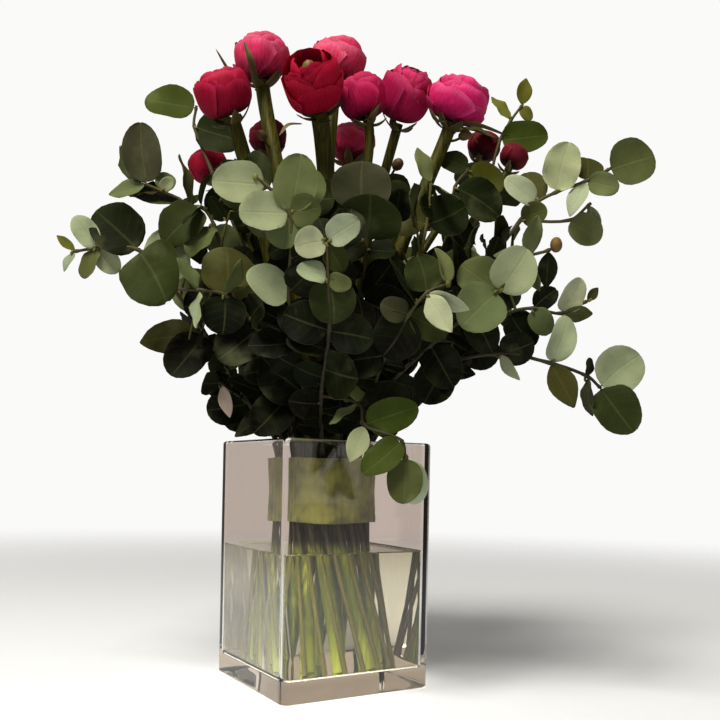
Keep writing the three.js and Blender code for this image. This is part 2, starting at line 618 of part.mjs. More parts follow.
// The knots of a twig that rises from the vase, or of one that starts on an earlier twig.
function twigPoints(spray, twig) {
  const lower = twig.from
    ? [vector(spray.twigs[twig.from[0]].route[twig.from[1]])]
    : strandFoot(TWIG_RING, spray.azimuth);
  const points = [...lower, ...twig.route.map(vector)];
  const [before, last] = points.slice(-2);
  const end = last.clone().addScaledVector(last.clone().sub(before).normalize(), TWIG.end);
  return [...points, end];
}

// A spray at the back by its rule, in the same rows as the front ones.
function backSpray({ azimuth, tipAzimuth, reach, height }, draws) {
  const route = Array.from({ length: BACK.knots + 1 }, (_, i) => {
    const t = i / BACK.knots;
    const rise = lerp(BACK.start, height, t) + BACK.bow * (height - BACK.start) * Math.sin(Math.PI * t);
    return onCircle(lerp(BACK.root, reach, t), degToRad(lerp(azimuth, tipAzimuth, t)), rise).toArray();
  });
  const leaves = route.slice(1).flatMap((_, i) => {
    const knot = i + 1;
    const upright = knot % 2 === 0;
    const length = lerp(BACK.first, BACK.last, i / (BACK.knots - 1));
    const pair = upright ? [0, 180] : [-90, 90];
    const clocks = knot === BACK.knots ? [-55, 5, 65] : pair;
    return clocks.map((clock) => {
      const size = length * draws.between(0.85, 1.1);
      return [knot, size, size * draws.between(0.8, 1), clock + draws.between(-18, 18),
        draws.between(5, 40), draws.between(-20, 20)];
    });
  });
  return { azimuth, facing: (azimuth + tipAzimuth) / 2, twigs: [{ route, leaves }] };
}

function twigSolid(twig, points) {
  const girths = twig.from ? [TWIG.branch, TWIG.tip] : [TWIG.foot, TWIG.tip];
  const buds = (twig.buds ?? []).map(([knot, radius]) =>
    solidOf(new THREE.IcosahedronGeometry(radius).translate(...twig.route[knot])),
  );
  return joined([bar(points, girths, TWIG.sides, twig.from ? 0 : UPRIGHT), ...buds]);
}

// Keeps what has been placed, so that the next piece can be tested against it.
class Clearance {
  constructor() {
    this.placed = [];
  }

  add(solid, owner) {
    this.placed.push({ solid, owner, box: boundsOf(solid) });
  }

  isClear(solid, owner) {
    const box = boundsOf(solid);
    return this.placed.every(
      (other) =>
        other.owner === owner ||
        !other.box.intersectsBox(box) ||
        other.solid.intersect(solid).isEmpty(),
    );
  }
}

// A twig's leaves, each bent clear of everything that stands already.
function leafSolids(spray, twig, owner, clearance) {
  const azimuth = degToRad(spray.facing ?? -90);
  return twig.leaves.flatMap(([knot, length, width, clock, lean, turn]) => {
    const leaf = {
      at: vector(twig.route[knot]), facing: onCircle(1, azimuth, 0),
      length, width, clock, lean, turn,
    };
    const bend = BENDS.find((b) => clearance.isClear(leafRoomSolid(bentLeaf(leaf, b)), owner));
    if (!bend) return [];
    const solid = leafSolid(bentLeaf(leaf, bend));
    clearance.add(solid, null);
    return [solid];
  });
}

// ---------- The part ----------

const part = new THREE.Group();
const bouquet = new THREE.Group();
bouquet.rotation.z = BOUQUET_TURN;
part.add(bouquet);

function place(group, name, solid, look) {
  const mesh = new THREE.Mesh(geometryOf(solid), new THREE.MeshStandardMaterial(look));
  mesh.name = name;
  group.add(mesh);
}

const numbered = (name, index) => `${name}_${String(index + 1).padStart(2, "0")}`;

const clearance = new Clearance();
const strands = [];

FLOWERS.forEach((flower, index) => {
  const points = stemPoints(flower);
  const stem = stemSolid(flower, index, points);
  const bloom = bloomSolid(flower, index);
  strands.push({ points, radius: flower.stem, sides: STEM.sides });
  clearance.add(stem, numbered("stem", index));
  clearance.add(bloom, numbered("bloom", index));
  place(bouquet, numbered("ranunculus_stem", index), stem, COLOURS.stem);
  const look = { color: flower.color, roughness: 0.5, metalness: 0 };
  place(bouquet, numbered("ranunculus_bloom", index), bloom, look);
});

const draws = new Draws(BACK.seed);
const sprays = [...FRONT_SPRAYS, ...BACK_SPRAYS.map((row) => backSpray(row, draws))];
const twigs = sprays.flatMap((spray, index) =>
  spray.twigs.map((twig, i) => {
    const points = twigPoints(spray, twig);
    const solid = twigSolid(twig, points);
    const owner = `${numbered("twig", index)}_${i}`;
    if (!twig.from) strands.push({ points, radius: TWIG.foot, sides: TWIG.sides });
    clearance.add(solid, owner);
    return { spray, index, twig, owner, solid };
  }),
);

const vase = vaseSolid();
const water = waterSolid(strands);
const wrap = wrapSolid();
[vase, water, wrap].forEach((solid) => clearance.add(turned(solid, -BOUQUET_TURN), "vase"));
place(part, "vase", vase, COLOURS.glass);
place(part, "water", water, COLOURS.water);
place(part, "binding_wrap", wrap, COLOURS.wrap);

sprays.forEach((spray, index) => {
  const own = twigs.filter((entry) => entry.index === index);
  const solids = own.flatMap(({ twig, owner, solid }) => [
    solid,
    ...leafSolids(spray, twig, owner, clearance),
  ]);
  place(bouquet, numbered("eucalyptus_spray", index), joined(solids), COLOURS.spray);
});

export default part;
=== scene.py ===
"""A hand-tied bouquet of ranunculus and eucalyptus in a square glass vase of water.

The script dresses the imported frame. Every flower, spray, band, vase and body of water of the
frame is replaced by a finer piece that keeps its place and form. Shapes are worked out in
millimetres in the bouquet's own frame (x to the right, y away from its front, z up) and are
turned and scaled into the part's frame when a piece is made.
"""

import logging
import math
import random
from collections.abc import Sequence
from dataclasses import dataclass, field
from enum import Enum
from typing import Any

import bpy
import numpy as np
from mathutils import Matrix
from mathutils.bvhtree import BVHTree


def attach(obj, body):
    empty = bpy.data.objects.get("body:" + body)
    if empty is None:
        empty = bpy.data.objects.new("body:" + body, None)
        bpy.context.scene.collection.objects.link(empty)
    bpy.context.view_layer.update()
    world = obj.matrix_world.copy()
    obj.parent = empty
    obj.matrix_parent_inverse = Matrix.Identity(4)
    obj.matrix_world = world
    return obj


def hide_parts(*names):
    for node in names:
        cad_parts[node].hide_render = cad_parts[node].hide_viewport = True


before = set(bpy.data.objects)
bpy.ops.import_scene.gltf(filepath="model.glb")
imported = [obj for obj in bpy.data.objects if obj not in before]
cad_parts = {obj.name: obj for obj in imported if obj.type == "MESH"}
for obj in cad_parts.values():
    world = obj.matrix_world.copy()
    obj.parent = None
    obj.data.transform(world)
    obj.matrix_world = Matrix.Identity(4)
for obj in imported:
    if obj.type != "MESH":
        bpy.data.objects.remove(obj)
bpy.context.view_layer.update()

log = logging.getLogger("bouquet")

Point = tuple[float, float, float]
Colour = tuple[float, float, float, float]

WHITE: Colour = (1.0, 1.0, 1.0, 1.0)

MM = 0.001
BOUQUET_TURN = math.radians(-30.8)
TO_PART = np.array(Matrix.Rotation(BOUQUET_TURN, 3, "Z")) * MM
UP = np.array((0.0, 0.0, 1.0))

VASE_SIDE = 100.0
VASE_HEIGHT = 150.0
VASE_WALL = 4.0
VASE_BASE = 12.0
VASE_CORNER = 6.0
WATER_LEVEL = 83.0
FIT = 0.3

NECK_LOW = 104.0
NECK_HIGH = 142.0
WRAP_LOW = 100.0
WRAP_HIGH = 140.0
STEM_RING = 20.0
CORE_RING = 7.5
TWIG_RING = 27.3
FOOT_SPREAD = 1.5
FOOT_TWIST = math.radians(40)
FOOT_LEVEL = VASE_BASE + FIT


def srgb(red: float, green: float, blue: float) -> Colour:
    """Turn a colour of 0 to 255 into the linear colour that a shader takes.

    Args:
        red: Red, 0 to 255.
        green: Green, 0 to 255.
        blue: Blue, 0 to 255.

    Returns:
        The linear colour with an alpha of 1.
    """
    channels = (value / 255 for value in (red, green, blue))
    linear = (v / 12.92 if v <= 0.04045 else ((v + 0.055) / 1.055) ** 2.4 for v in channels)
    return (*linear, 1.0)


class Tone(Enum):
    """The colour of a leaf's upper face."""

    PALE = (150, 157, 130)
    LIGHT = (140, 150, 120)
    GREY = (92, 100, 64)
    MID = (78, 84, 48)
    GREEN = (50, 60, 14)
    OLIVE = (60, 60, 26)
    YELLOW = (90, 90, 28)
    MOSS = (42, 49, 20)
    DARK = (28, 36, 9)
    BROWN = (42, 38, 17)
    SLATE = (54, 54, 38)
    MAUVE = (158, 142, 132)


# ---------- Points and directions ----------


def lerp(start: float, end: float, share: float) -> float:
    """Return the value that lies a share of the way from start to end."""
    return start + (end - start) * share


def vector(point: Sequence[float]) -> np.ndarray:
    """Return a point or direction as an array."""
    return np.array(point, dtype=float)


def unit(direction: np.ndarray) -> np.ndarray:
    """Return a direction with length 1."""
    return direction / np.linalg.norm(direction)


def turned(direction: np.ndarray, axis: np.ndarray, angle: float) -> np.ndarray:
    """Turn a direction about an axis by an angle in radians."""
    return np.array(Matrix.Rotation(angle, 3, axis.tolist())) @ direction


def on_circle(radius: float, angle: float, height: float) -> np.ndarray:
    """Return the point of a level circle at an angle in radians."""
    return vector((radius * math.cos(angle), radius * math.sin(angle), height))


def pointing(clock: float, lean: float) -> np.ndarray:
    """Return the way a thing points.

    Args:
        clock: Degrees from upright towards the right.
        lean: Degrees towards the front.

    Returns:
        The direction, of length 1.
    """
    side, ahead = math.radians(clock), math.radians(lean)
    level = math.cos(ahead)
    return vector((level * math.sin(side), -math.sin(ahead), level * math.cos(side)))


def strand_foot(ring: float, azimuth: float) -> list[np.ndarray]:
    """Return the points that a strand passes below the bouquet.

    Args:
        ring: The circle that it stands on at the neck.
        azimuth: Its place on that circle, in degrees.

    Returns:
        Its foot in the vase and the two ends of its upright run at the neck.
    """
    angle = math.radians(azimuth)
    return [
        on_circle(ring * FOOT_SPREAD, angle + FOOT_TWIST, FOOT_LEVEL),
        on_circle(ring, angle, NECK_LOW),
        on_circle(ring, angle, NECK_HIGH),
    ]


def smooth_route(points: Sequence[np.ndarray], steps: int) -> np.ndarray:
    """Draw a smooth curve through points.

    Args:
        points: The points, in order.
        steps: How many short runs each span between two points gets.

    Returns:
        The curve's points, one array row each.
    """
    p = [2 * points[0] - points[1], *points, 2 * points[-1] - points[-2]]
    route = []
    for i in range(1, len(p) - 2):
        before, here, there, after = p[i - 1 : i + 3]
        span = np.linalg.norm(there - here)
        out = unit(there - before) * span
        inward = unit(after - here) * span
        for step in range(steps):
            t = step / steps
            route.append(
                (2 * t**3 - 3 * t**2 + 1) * here
                + (t**3 - 2 * t**2 + t) * out
                + (3 * t**2 - 2 * t**3) * there
                + (t**3 - t**2) * inward
            )
    return np.array([*route, points[-1]])


# ---------- Meshes ----------

# A ball's rings and sides, and the angle from its axis at which its small flat ends lie.
BALL_RINGS = 9
BALL_SIDES = 10
BALL_END = 0.08

# How far behind the middle of a leaf that shows another leaf may stand, in millimetres.
BEHIND_SHOWN = 2.0


@dataclass
class Draft:
    """A mesh in the making: points in millimetres, faces, and what the finishes read of them."""

    points: list[np.ndarray] = field(default_factory=list)
    along: list[float] = field(default_factory=list)
    across: list[float] = field(default_factory=list)
    faces: list[tuple[int, ...]] = field(default_factory=list)
    slots: list[int] = field(default_factory=list)
    colours: list[Colour] = field(default_factory=list)
    sides: list[float] = field(default_factory=list)

    def add_points(self, points: np.ndarray, along: np.ndarray, across: np.ndarray) -> int:
        """Add points with their marks.

        Args:
            points: The points, one row each.
            along: How far along its blade or bar each point lies.
            across: How far across it each point lies.

        Returns:
            The index of the first point that was added.
        """
        first = len(self.points)
        self.points.extend(points)
        self.along.extend(along.tolist())
        self.across.extend(across.tolist())
        return first

    def add_faces(self, faces: np.ndarray, slot: int, colour: Colour, side: float = 0.0) -> None:
        """Add faces.

        Args:
            faces: The indices of their points, one row for each face.
            slot: The material slot.
            colour: Their own colour.
            side: 1 on an underside or a cut end, otherwise 0.
        """
        self.faces.extend(map(tuple, faces.tolist()))
        self.slots.extend([slot] * len(faces))
        self.colours.extend([colour] * len(faces))
        self.sides.extend([side] * len(faces))

    def skin(
        self, ids: np.ndarray, slot: int = 0, colour: Colour = WHITE, side: float = 0.0
    ) -> None:
        """Add a face between each four neighbours of a grid.

        Args:
            ids: The indices of the grid's points, rows by columns.
            slot: The material slot.
            colour: The faces' own colour.
            side: 1 on an underside, otherwise 0.
        """
        quads = np.stack((ids[:-1, :-1], ids[:-1, 1:], ids[1:, 1:], ids[1:, :-1]), axis=-1)
        self.add_faces(quads.reshape(-1, 4), slot, colour, side)

    def sheet(
        self, grid: np.ndarray, thickness: float, slot: int = 0, colour: Colour = WHITE
    ) -> None:
        """Add a thin closed blade over a grid of points, its two faces meeting in a sharp rim.

        Args:
            grid: The points, rows along the blade by columns across it.
            thickness: The blade's thickness away from its rim.
            slot: The material slot.
            colour: The blade's own colour.
        """
        rows, columns = grid.shape[:2]
        normal = np.cross(np.gradient(grid, axis=1), np.gradient(grid, axis=0))
        normal /= np.maximum(np.linalg.norm(normal, axis=2, keepdims=True), 1e-9)
        depth = np.zeros((rows, columns, 1))
        depth[1:-1, 1:-1] = thickness / 2
        along = np.repeat(np.linspace(0, 1, rows)[:, None], columns, axis=1)
        across = np.repeat(np.linspace(-1, 1, columns)[None, :], rows, axis=0)
        raised = (grid + normal * depth).reshape(-1, 3)
        front = self.add_points(raised, along.ravel(), across.ravel())
        inner = (slice(1, -1), slice(1, -1))
        sunk = (grid - normal * depth)[inner].reshape(-1, 3)
        back = self.add_points(sunk, along[inner].ravel(), across[inner].ravel())
        upper = front + np.arange(rows * columns).reshape(rows, columns)
        lower = upper.copy()
        lower[inner] = back + np.arange((rows - 2) * (columns - 2)).reshape(rows - 2, -1)
        for ids, side in ((upper, 0.0), (lower[:, ::-1], 1.0)):
            self.skin(ids, slot, colour, side)

    def tube(
        self, path: np.ndarray, radii: np.ndarray, sides: int, slot: int = 0,
        colour: Colour = WHITE,
    ) -> None:
        """Add a closed round bar along a path.

        Args:
            path: The path's points, one row each.
            radii: The radius at each point of the path, or at each point and side.
            sides: How many sides the bar has.
            slot: The material slot.
            colour: The bar's own colour.
        """
        runs = np.gradient(path, axis=0)
        runs /= np.linalg.norm(runs, axis=1, keepdims=True)
        normal = unit(np.cross(runs[0], (1.0, 0.3, 0.2)))
        angles = np.linspace(0, 2 * math.pi, sides, endpoint=False)
        girths = np.broadcast_to(radii.reshape(len(path), -1), (len(path), sides))
        rings = []
        for point, run, girth in zip(path, runs, girths):
            normal = unit(normal - run * normal.dot(run))
            other = np.cross(run, normal)
            ring = np.cos(angles)[:, None] * normal + np.sin(angles)[:, None] * other
            rings.append(point + ring * girth[:, None])
        steps = np.linalg.norm(np.diff(path, axis=0), axis=1)
        lengths = np.concatenate(([0], np.cumsum(steps)))
        along = np.repeat(lengths / lengths[-1], sides)
        across = np.tile(angles / math.pi - 1, len(path))
        first = self.add_points(np.concatenate(rings), along, across)
        ids = first + np.arange(len(path) * sides).reshape(len(path), sides)
        self.skin(np.column_stack((ids, ids[:, :1])), slot, colour)
        for end, ring in ((path[0], ids[0, ::-1]), (path[-1], ids[-1])):
            centre = self.add_points(end[None], np.zeros(1), np.zeros(1))
            caps = np.stack((ring, np.roll(ring, -1), np.full(sides, centre)), axis=-1)
            self.add_faces(caps, slot, colour, side=1.0)

    def ball(
        self, centre: np.ndarray, axis: np.ndarray, radii: tuple[float, float], slot: int,
        colour: Colour,
    ) -> None:
        """Add a closed egg shape.

        Args:
            centre: Its middle.
            axis: The way its long axis points.
            radii: Its radius across the axis and its half length along it.
            slot: The material slot.
            colour: Its own colour.
        """
        steps = np.linspace(BALL_END, math.pi - BALL_END, BALL_RINGS)
        path = centre + np.outer(-np.cos(steps) * radii[1], unit(axis))
        self.tube(path, np.sin(steps) * radii[0], BALL_SIDES, slot, colour)

    def loops(self, rings: Sequence[np.ndarray], closed: bool = False) -> None:
        """Add a skin over rings of points that each have the same count.

        Args:
            rings: The rings in order.
            closed: Whether the last ring meets the first; otherwise both get an end face.
        """
        count = len(rings[0])
        points = np.concatenate(rings)
        first = self.add_points(points, points[:, 2], np.zeros(len(points)))
        ids = first + np.arange(len(points)).reshape(len(rings), count)
        if closed:
            ids = np.concatenate((ids, ids[:1]))
        self.skin(np.column_stack((ids, ids[:, :1])))
        if not closed:
            for ring in (ids[0, ::-1], ids[-1]):
                self.add_faces(ring[None], 0, WHITE)

    def absorb(self, other: "Draft") -> None:
        """Add all that another draft holds."""
        first = len(self.points)
        self.points += other.points
        self.along += other.along
        self.across += other.across
        self.faces += [tuple(first + corner for corner in face) for face in other.faces]
        self.slots += other.slots
        self.colours += other.colours
        self.sides += other.sides

    def build(
        self, name: str, materials: Sequence[bpy.types.Material], turn: bool = True,
        crease: float = 62.0,
    ) -> bpy.types.Object:
        """Make the mesh object, in metres in the part's frame.

        Args:
            name: The piece's name.
            materials: The materials of its slots, in order.
            turn: Whether the points are in the bouquet's frame rather than the part's.
            crease: The angle in degrees from which an edge stays sharp.

        Returns:
            The new object, which the scene shows.
        """
        points = np.array(self.points)
        points = points @ TO_PART.T if turn else points * MM
        mesh = bpy.data.meshes.new(name)
        mesh.from_pydata(points.tolist(), [], self.faces)
        mesh.polygons.foreach_set("material_index", self.slots)
        for mark, values in (("along", self.along), ("across", self.across)):
            mesh.attributes.new(mark, "FLOAT", "POINT").data.foreach_set("value", values)
        mesh.attributes.new("side", "FLOAT", "FACE").data.foreach_set("value", self.sides)
        tint = mesh.attributes.new("tint", "FLOAT_COLOR", "FACE")
        tint.data.foreach_set("color", np.array(self.colours, dtype=float).ravel())
        mesh.shade_smooth()
        mesh.set_sharp_from_angle(angle=math.radians(crease))
        for material in materials:
            mesh.materials.append(material)
        piece = bpy.data.objects.new(name, mesh)
        bpy.context.scene.collection.objects.link(piece)
        return piece


class Crowd:
    """What stands already, against which each new twig or leaf is tested."""

    def __init__(self) -> None:
        """Start with nothing."""
        self.placed: list[tuple[str, np.ndarray, np.ndarray, BVHTree]] = []
        self.shown: list[tuple[np.ndarray, np.ndarray, float]] = []

    @staticmethod
    def shape(draft: Draft) -> tuple[np.ndarray, np.ndarray, BVHTree]:
        """Return a draft's lowest corner, highest corner and tree of faces."""
        points = np.array(draft.points)
        tree = BVHTree.FromPolygons(points.tolist(), draft.faces)
        return points.min(axis=0), points.max(axis=0), tree

    def add(self, draft: Draft, owner: str = "") -> None:
        """Add what a draft holds, under its owner's name."""
        self.placed.append((owner, *self.shape(draft)))

    def hides(self, middle: np.ndarray, radius: float) -> bool:
        """Say whether a leaf would stand before one that is to show.

        Args:
            middle: The leaf's middle.
            radius: Its radius.

        Returns:
            Whether it would.
        """
        for centre, facing, reach in self.shown:
            offset = middle - centre
            ahead = offset @ facing
            if ahead > -BEHIND_SHOWN and np.linalg.norm(offset - facing * ahead) < reach + radius:
                return True
        return False

    def takes(self, draft: Draft, owner: str = "", name: str = "") -> bool:
        """Add a draft if it is clear of all that isn't its owner's own.

        Args:
            draft: The new piece.
            owner: What it grows on, which it may touch.
            name: The name under which it is added.

        Returns:
            Whether it was clear.
        """
        low, high, tree = self.shape(draft)
        for other, floor, top, placed in self.placed:
            if other == owner and owner:
                continue
            if (low < top).all() and (floor < high).all() and tree.overlap(placed):
                return False
        self.placed.append((name, low, high, tree))
        return True


def settle(piece: bpy.types.Object, node: str) -> None:
    """Put a piece on the part in place of a node, and report it.

    Args:
        piece: The finished piece.
        node: The node that it stands for.
    """
    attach(piece, "root")
    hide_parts(node)
    log.info("%s: %d faces, in place of %s", piece.name, len(piece.data.polygons), node)


# ---------- Shading ----------

# Painted shade on stems and twigs: the share of its colour that a stem or twig keeps low in the
# bouquet's middle, and the heights between which it gets the rest back, in metres.
PAINTED_SHADE_SHARE = 0.3
PAINTED_SHADE_LINE = (0.17, 0.30)

# The heights between which a stem turns from wet to dry, in metres.
WATER_LINE = (0.080, 0.090)


class Socket:
    """A value inside a material, on which the usual operators add Math nodes."""

    def __init__(self, shader: "Shader", link: bpy.types.NodeSocket) -> None:
        """Hold an output socket of a shader's node tree."""
        self.shader = shader
        self.link = link

    def math(self, operation: str, *others: "Socket | float", first: bool = True) -> "Socket":
        """Add one Math node.

        Args:
            operation: The Math node's operation.
            others: The other operands.
            first: Whether this value is the first operand rather than the second.

        Returns:
            The node's result.
        """
        operands = [self, *others] if first else [*others, self]
        return self.shader.node(
            "ShaderNodeMath", {"operation": operation}, dict(enumerate(operands))
        )

    def __add__(self, other: "Socket | float") -> "Socket":
        """Return the sum."""
        return self.math("ADD", other)

    __radd__ = __add__

    def __mul__(self, other: "Socket | float") -> "Socket":
        """Return the product."""
        return self.math("MULTIPLY", other)

    __rmul__ = __mul__

    def __sub__(self, other: "Socket | float") -> "Socket":
        """Return this value less another."""
        return self.math("SUBTRACT", other)

    def __rsub__(self, other: "Socket | float") -> "Socket":
        """Return another value less this one."""
        return self.math("SUBTRACT", other, first=False)

    def __abs__(self) -> "Socket":
        """Return the size of the value."""
        return self.math("ABSOLUTE")

    def ramp(self, low: float, high: float) -> "Socket":
        """Return 0 up to low, 1 from high on, and a smooth rise between them."""
        inputs = {0: self, 1: low, 2: high, 3: 0.0, 4: 1.0}
        return self.shader.node(
            "ShaderNodeMapRange", {"interpolation_type": "SMOOTHSTEP"}, inputs
        )


class Shader:
    """The node tree of one material, whose surface is a Principled shader."""

    def __init__(self, name: str, **constants: Any) -> None:
        """Start a material.

        Args:
            name: The material's name.
            constants: Values of the Principled shader's sockets, a space written as _.
        """
        self.material = bpy.data.materials.new(name)
        self.material.use_nodes = True
        self.tree = self.material.node_tree
        self.tree.nodes.clear()
        self.surface = self.tree.nodes.new("ShaderNodeBsdfPrincipled")
        output = self.tree.nodes.new("ShaderNodeOutputMaterial")
        self.tree.links.new(self.surface.outputs[0], output.inputs["Surface"])
        for socket, value in constants.items():
            self.surface.inputs[socket.replace("_", " ")].default_value = value

    def node(
        self, kind: str, settings: dict[str, Any] | None = None,
        inputs: dict[int | str, Any] | None = None, output: int | str = 0,
    ) -> Socket:
        """Add a node.

        Args:
            kind: The node's type.
            settings: The node's own settings, which are set first.
            inputs: The values or links of its input sockets.
            output: The output socket that is wanted.

        Returns:
            That output socket.
        """
        made = self.tree.nodes.new(kind)
        for key, value in (settings or {}).items():
            setattr(made, key, value)
        for key, value in (inputs or {}).items():
            if isinstance(value, Socket):
                self.tree.links.new(value.link, made.inputs[key])
            else:
                made.inputs[key].default_value = value
        return Socket(self, made.outputs[output])

    def mark(self, name: str, output: str = "Fac") -> Socket:
        """Return what the mesh says of a point or face under a name."""
        return self.node("ShaderNodeAttribute", {"attribute_name": name}, output=output)

    def place(self) -> Socket:
        """Return the point's place on the object, in metres."""
        return self.node("ShaderNodeTexCoord", output="Object")

    def height(self) -> Socket:
        """Return how high the point lies on the object, in metres."""
        return self.node("ShaderNodeSeparateXYZ", inputs={0: self.place()}, output=2)

    def noise(self, scale: float, detail: float = 2.0, at: Socket | None = None) -> Socket:
        """Return a soft noise of 0 to 1.

        Args:
            scale: How many bumps it has in a metre, or in a unit of what it is read at.
            detail: How many finer layers it has.
            at: Where it is read, the point's place unless stated.

        Returns:
            The noise.
        """
        inputs = {"Vector": at or self.place(), "Scale": scale, "Detail": detail}
        return self.node("ShaderNodeTexNoise", inputs=inputs)

    def stretched(self, x: float, y: float, z: float) -> Socket:
        """Return the point's place with each axis scaled by its own factor."""
        inputs = {0: self.place(), 1: (x, y, z)}
        return self.node("ShaderNodeVectorMath", {"operation": "MULTIPLY"}, inputs)

    def triple(self, x: Socket | float, y: Socket | float, z: Socket | float) -> Socket:
        """Return three values as one vector."""
        return self.node("ShaderNodeCombineXYZ", inputs={0: x, 1: y, 2: z})

    def mix(self, first: Any, second: Any, share: Socket | float, blend: str = "MIX") -> Socket:
        """Mix two colours.

        Args:
            first: The colour at a share of 0.
            second: The colour at a share of 1.
            share: How much of the second shows.
            blend: The way the second is laid over the first.

        Returns:
            The mixed colour.
        """
        settings = {"data_type": "RGBA", "blend_type": blend}
        return self.node("ShaderNodeMix", settings, {0: share, 6: first, 7: second}, output=2)

    def dim(self, colour: Any, share: Socket) -> Socket:
        """Return a colour with a share of its brightness."""
        return self.mix(colour, self.triple(share, share, share), 1.0, "MULTIPLY")

    def painted_shade(self, colour: Any) -> Socket:
        """Return a colour darkened by painted shade down in the bouquet's middle."""
        return self.dim(colour, PAINTED_SHADE_SHARE + (1 - PAINTED_SHADE_SHARE) * self.height().ramp(*PAINTED_SHADE_LINE))

    def feed(self, socket: str, value: Socket) -> None:
        """Link a value to a socket of the surface."""
        self.tree.links.new(value.link, self.surface.inputs[socket])

    def relief(self, height: Socket, depth: float, strength: float = 0.5) -> None:
        """Raise the surface by a height.

        Args:
            height: The height, 0 to 1.
            depth: What a height of 1 stands for, in metres.
            strength: How strongly it shows.
        """
        bump = self.node(
            "ShaderNodeBump", inputs={"Strength": strength, "Distance": depth, "Height": height}
        )
        self.feed("Normal", bump)


# ---------- Finishes ----------


@dataclass(frozen=True)
class LeafFinish:
    """A waxy eucalyptus leaf: its own tone, pale veins and rim, and a duller underside."""

    vein: Colour = srgb(150, 152, 104)
    underside: Colour = srgb(84, 90, 52)
    rim: Colour = srgb(150, 140, 96)
    dust: Colour = srgb(132, 140, 100)
    blemish: Colour = srgb(58, 42, 22)
    deep: Colour = srgb(26, 38, 8)
    side_veins: float = 8.0

    def material(self) -> bpy.types.Material:
        """Return the material."""
        shader = Shader("eucalyptus leaf", Roughness=0.6, Specular_IOR_Level=0.06)
        along, across = shader.mark("along"), abs(shader.mark("across"))
        # The leaf's own tone, times painted shade on leaves deep in the bouquet.
        tint = shader.mark("tint", "Color")
        soft = shader.noise(70.0, 3.0)
        fine = shader.noise(900.0, 3.0)
        midrib = 1 - across.ramp(0.01, 0.05)
        lines = (along * self.side_veins - across * 1.7).math("FRACT")
        side_veins = (abs(lines - 0.5)).ramp(0.42, 0.5) * (1 - across.ramp(0.7, 0.95))
        rim = (across.ramp(0.94, 0.99) + along.ramp(0.97, 0.995)).math("MINIMUM", 1.0)
        colour = shader.mix(tint, self.dust, soft.ramp(0.45, 0.8) * 0.04)
        colour = shader.mix(colour, self.vein, side_veins * 0.02)
        colour = shader.mix(colour, self.vein, midrib * 0.07)
        colour = shader.mix(colour, self.rim, rim * 0.12)
        patches = shader.noise(38.0, 3.0)
        colour = shader.mix(colour, self.deep, patches.ramp(0.45, 0.7) * 0.32)
        colour = shader.mix(colour, self.dust, (1 - patches.ramp(0.28, 0.46)) * 0.16)
        spots = shader.noise(230.0, 4.0).ramp(0.68, 0.76)
        colour = shader.mix(colour, self.blemish, spots * 0.3)
        colour = shader.mix(colour, self.underside, shader.mark("side") * 0.12)
        shader.feed("Base Color", shader.dim(colour, 0.84 + 0.2 * fine + 0.12 * soft))
        shader.feed("Roughness", 0.55 + 0.2 * soft)
        shader.relief(0.5 * soft - 0.35 * midrib - 0.12 * side_veins + 0.1 * fine, 0.0006)
        return shader.material


@dataclass(frozen=True)
class BarkFinish:
    """A thin eucalyptus twig, whose own colour runs from brown at the foot to green."""

    scar: Colour = srgb(46, 36, 20)
    wet: Colour = srgb(110, 108, 34)

    def material(self) -> bpy.types.Material:
        """Return the material."""
        shader = Shader("eucalyptus twig", Roughness=0.6, Specular_IOR_Level=0.3)
        grain = shader.noise(1.0, 4.0, shader.stretched(1800.0, 1800.0, 260.0))
        patches = shader.noise(120.0, 2.0).ramp(0.5, 0.7)
        colour = shader.mix(shader.mark("tint", "Color"), self.scar, grain.ramp(0.5, 0.75) * 0.4)
        colour = shader.mix(colour, self.scar, patches * 0.3)
        # Painted shade: the twig is darker low in the bouquet's middle.
        colour = shader.painted_shade(colour)
        dry = shader.height().ramp(*WATER_LINE)
        shader.feed("Base Color", shader.mix(self.wet, colour, 0.25 + 0.75 * dry))
        shader.feed("Roughness", 0.5 + 0.25 * grain)
        shader.relief(grain, 0.0004)
        return shader.material


@dataclass(frozen=True)
class StemFinish:
    """A juicy ribbed flower stem with lengthwise streaks, olive above and lime in the water."""

    light: Colour = srgb(78, 73, 14)
    deep: Colour = srgb(38, 42, 4)
    wet_light: Colour = srgb(188, 196, 82)
    wet_deep: Colour = srgb(92, 108, 14)
    blush: Colour = srgb(96, 70, 34)
    cut: Colour = srgb(196, 214, 70)
    cut_line: tuple[float, float] = (0.014, 0.045)

    def material(self) -> bpy.types.Material:
        """Return the material."""
        shader = Shader("ranunculus stem", Roughness=0.42, Specular_IOR_Level=0.15)
        streaks = shader.noise(1.0, 4.0, shader.stretched(700.0, 700.0, 30.0))
        hairs = shader.noise(1.0, 2.0, shader.stretched(2600.0, 2600.0, 90.0))
        patches = shader.noise(22.0, 2.0)
        dry = shader.height().ramp(*WATER_LINE)
        share = streaks.ramp(0.3, 0.68)
        bright = 0.2 + 0.8 * patches.ramp(0.4, 0.6)
        wet = shader.mix(self.wet_deep, self.wet_light, share * bright)
        wet = shader.mix(wet, self.cut, (1 - shader.height().ramp(*self.cut_line)) * 0.6)
        # Painted shade: the dry stem is darker low in the bouquet's middle.
        upper = shader.painted_shade(shader.mix(self.deep, self.light, share))
        colour = shader.mix(wet, upper, dry)
        colour = shader.mix(colour, self.blush, patches.ramp(0.6, 0.78) * dry * 0.35)
        colour = shader.mix(colour, shader.mark("tint", "Color"), 0.6, "MULTIPLY")
        shader.feed("Base Color", colour)
        shader.feed("Roughness", 0.36 + 0.24 * hairs)
        shader.relief(0.6 * streaks + 0.4 * hairs, 0.0007)
        return shader.material


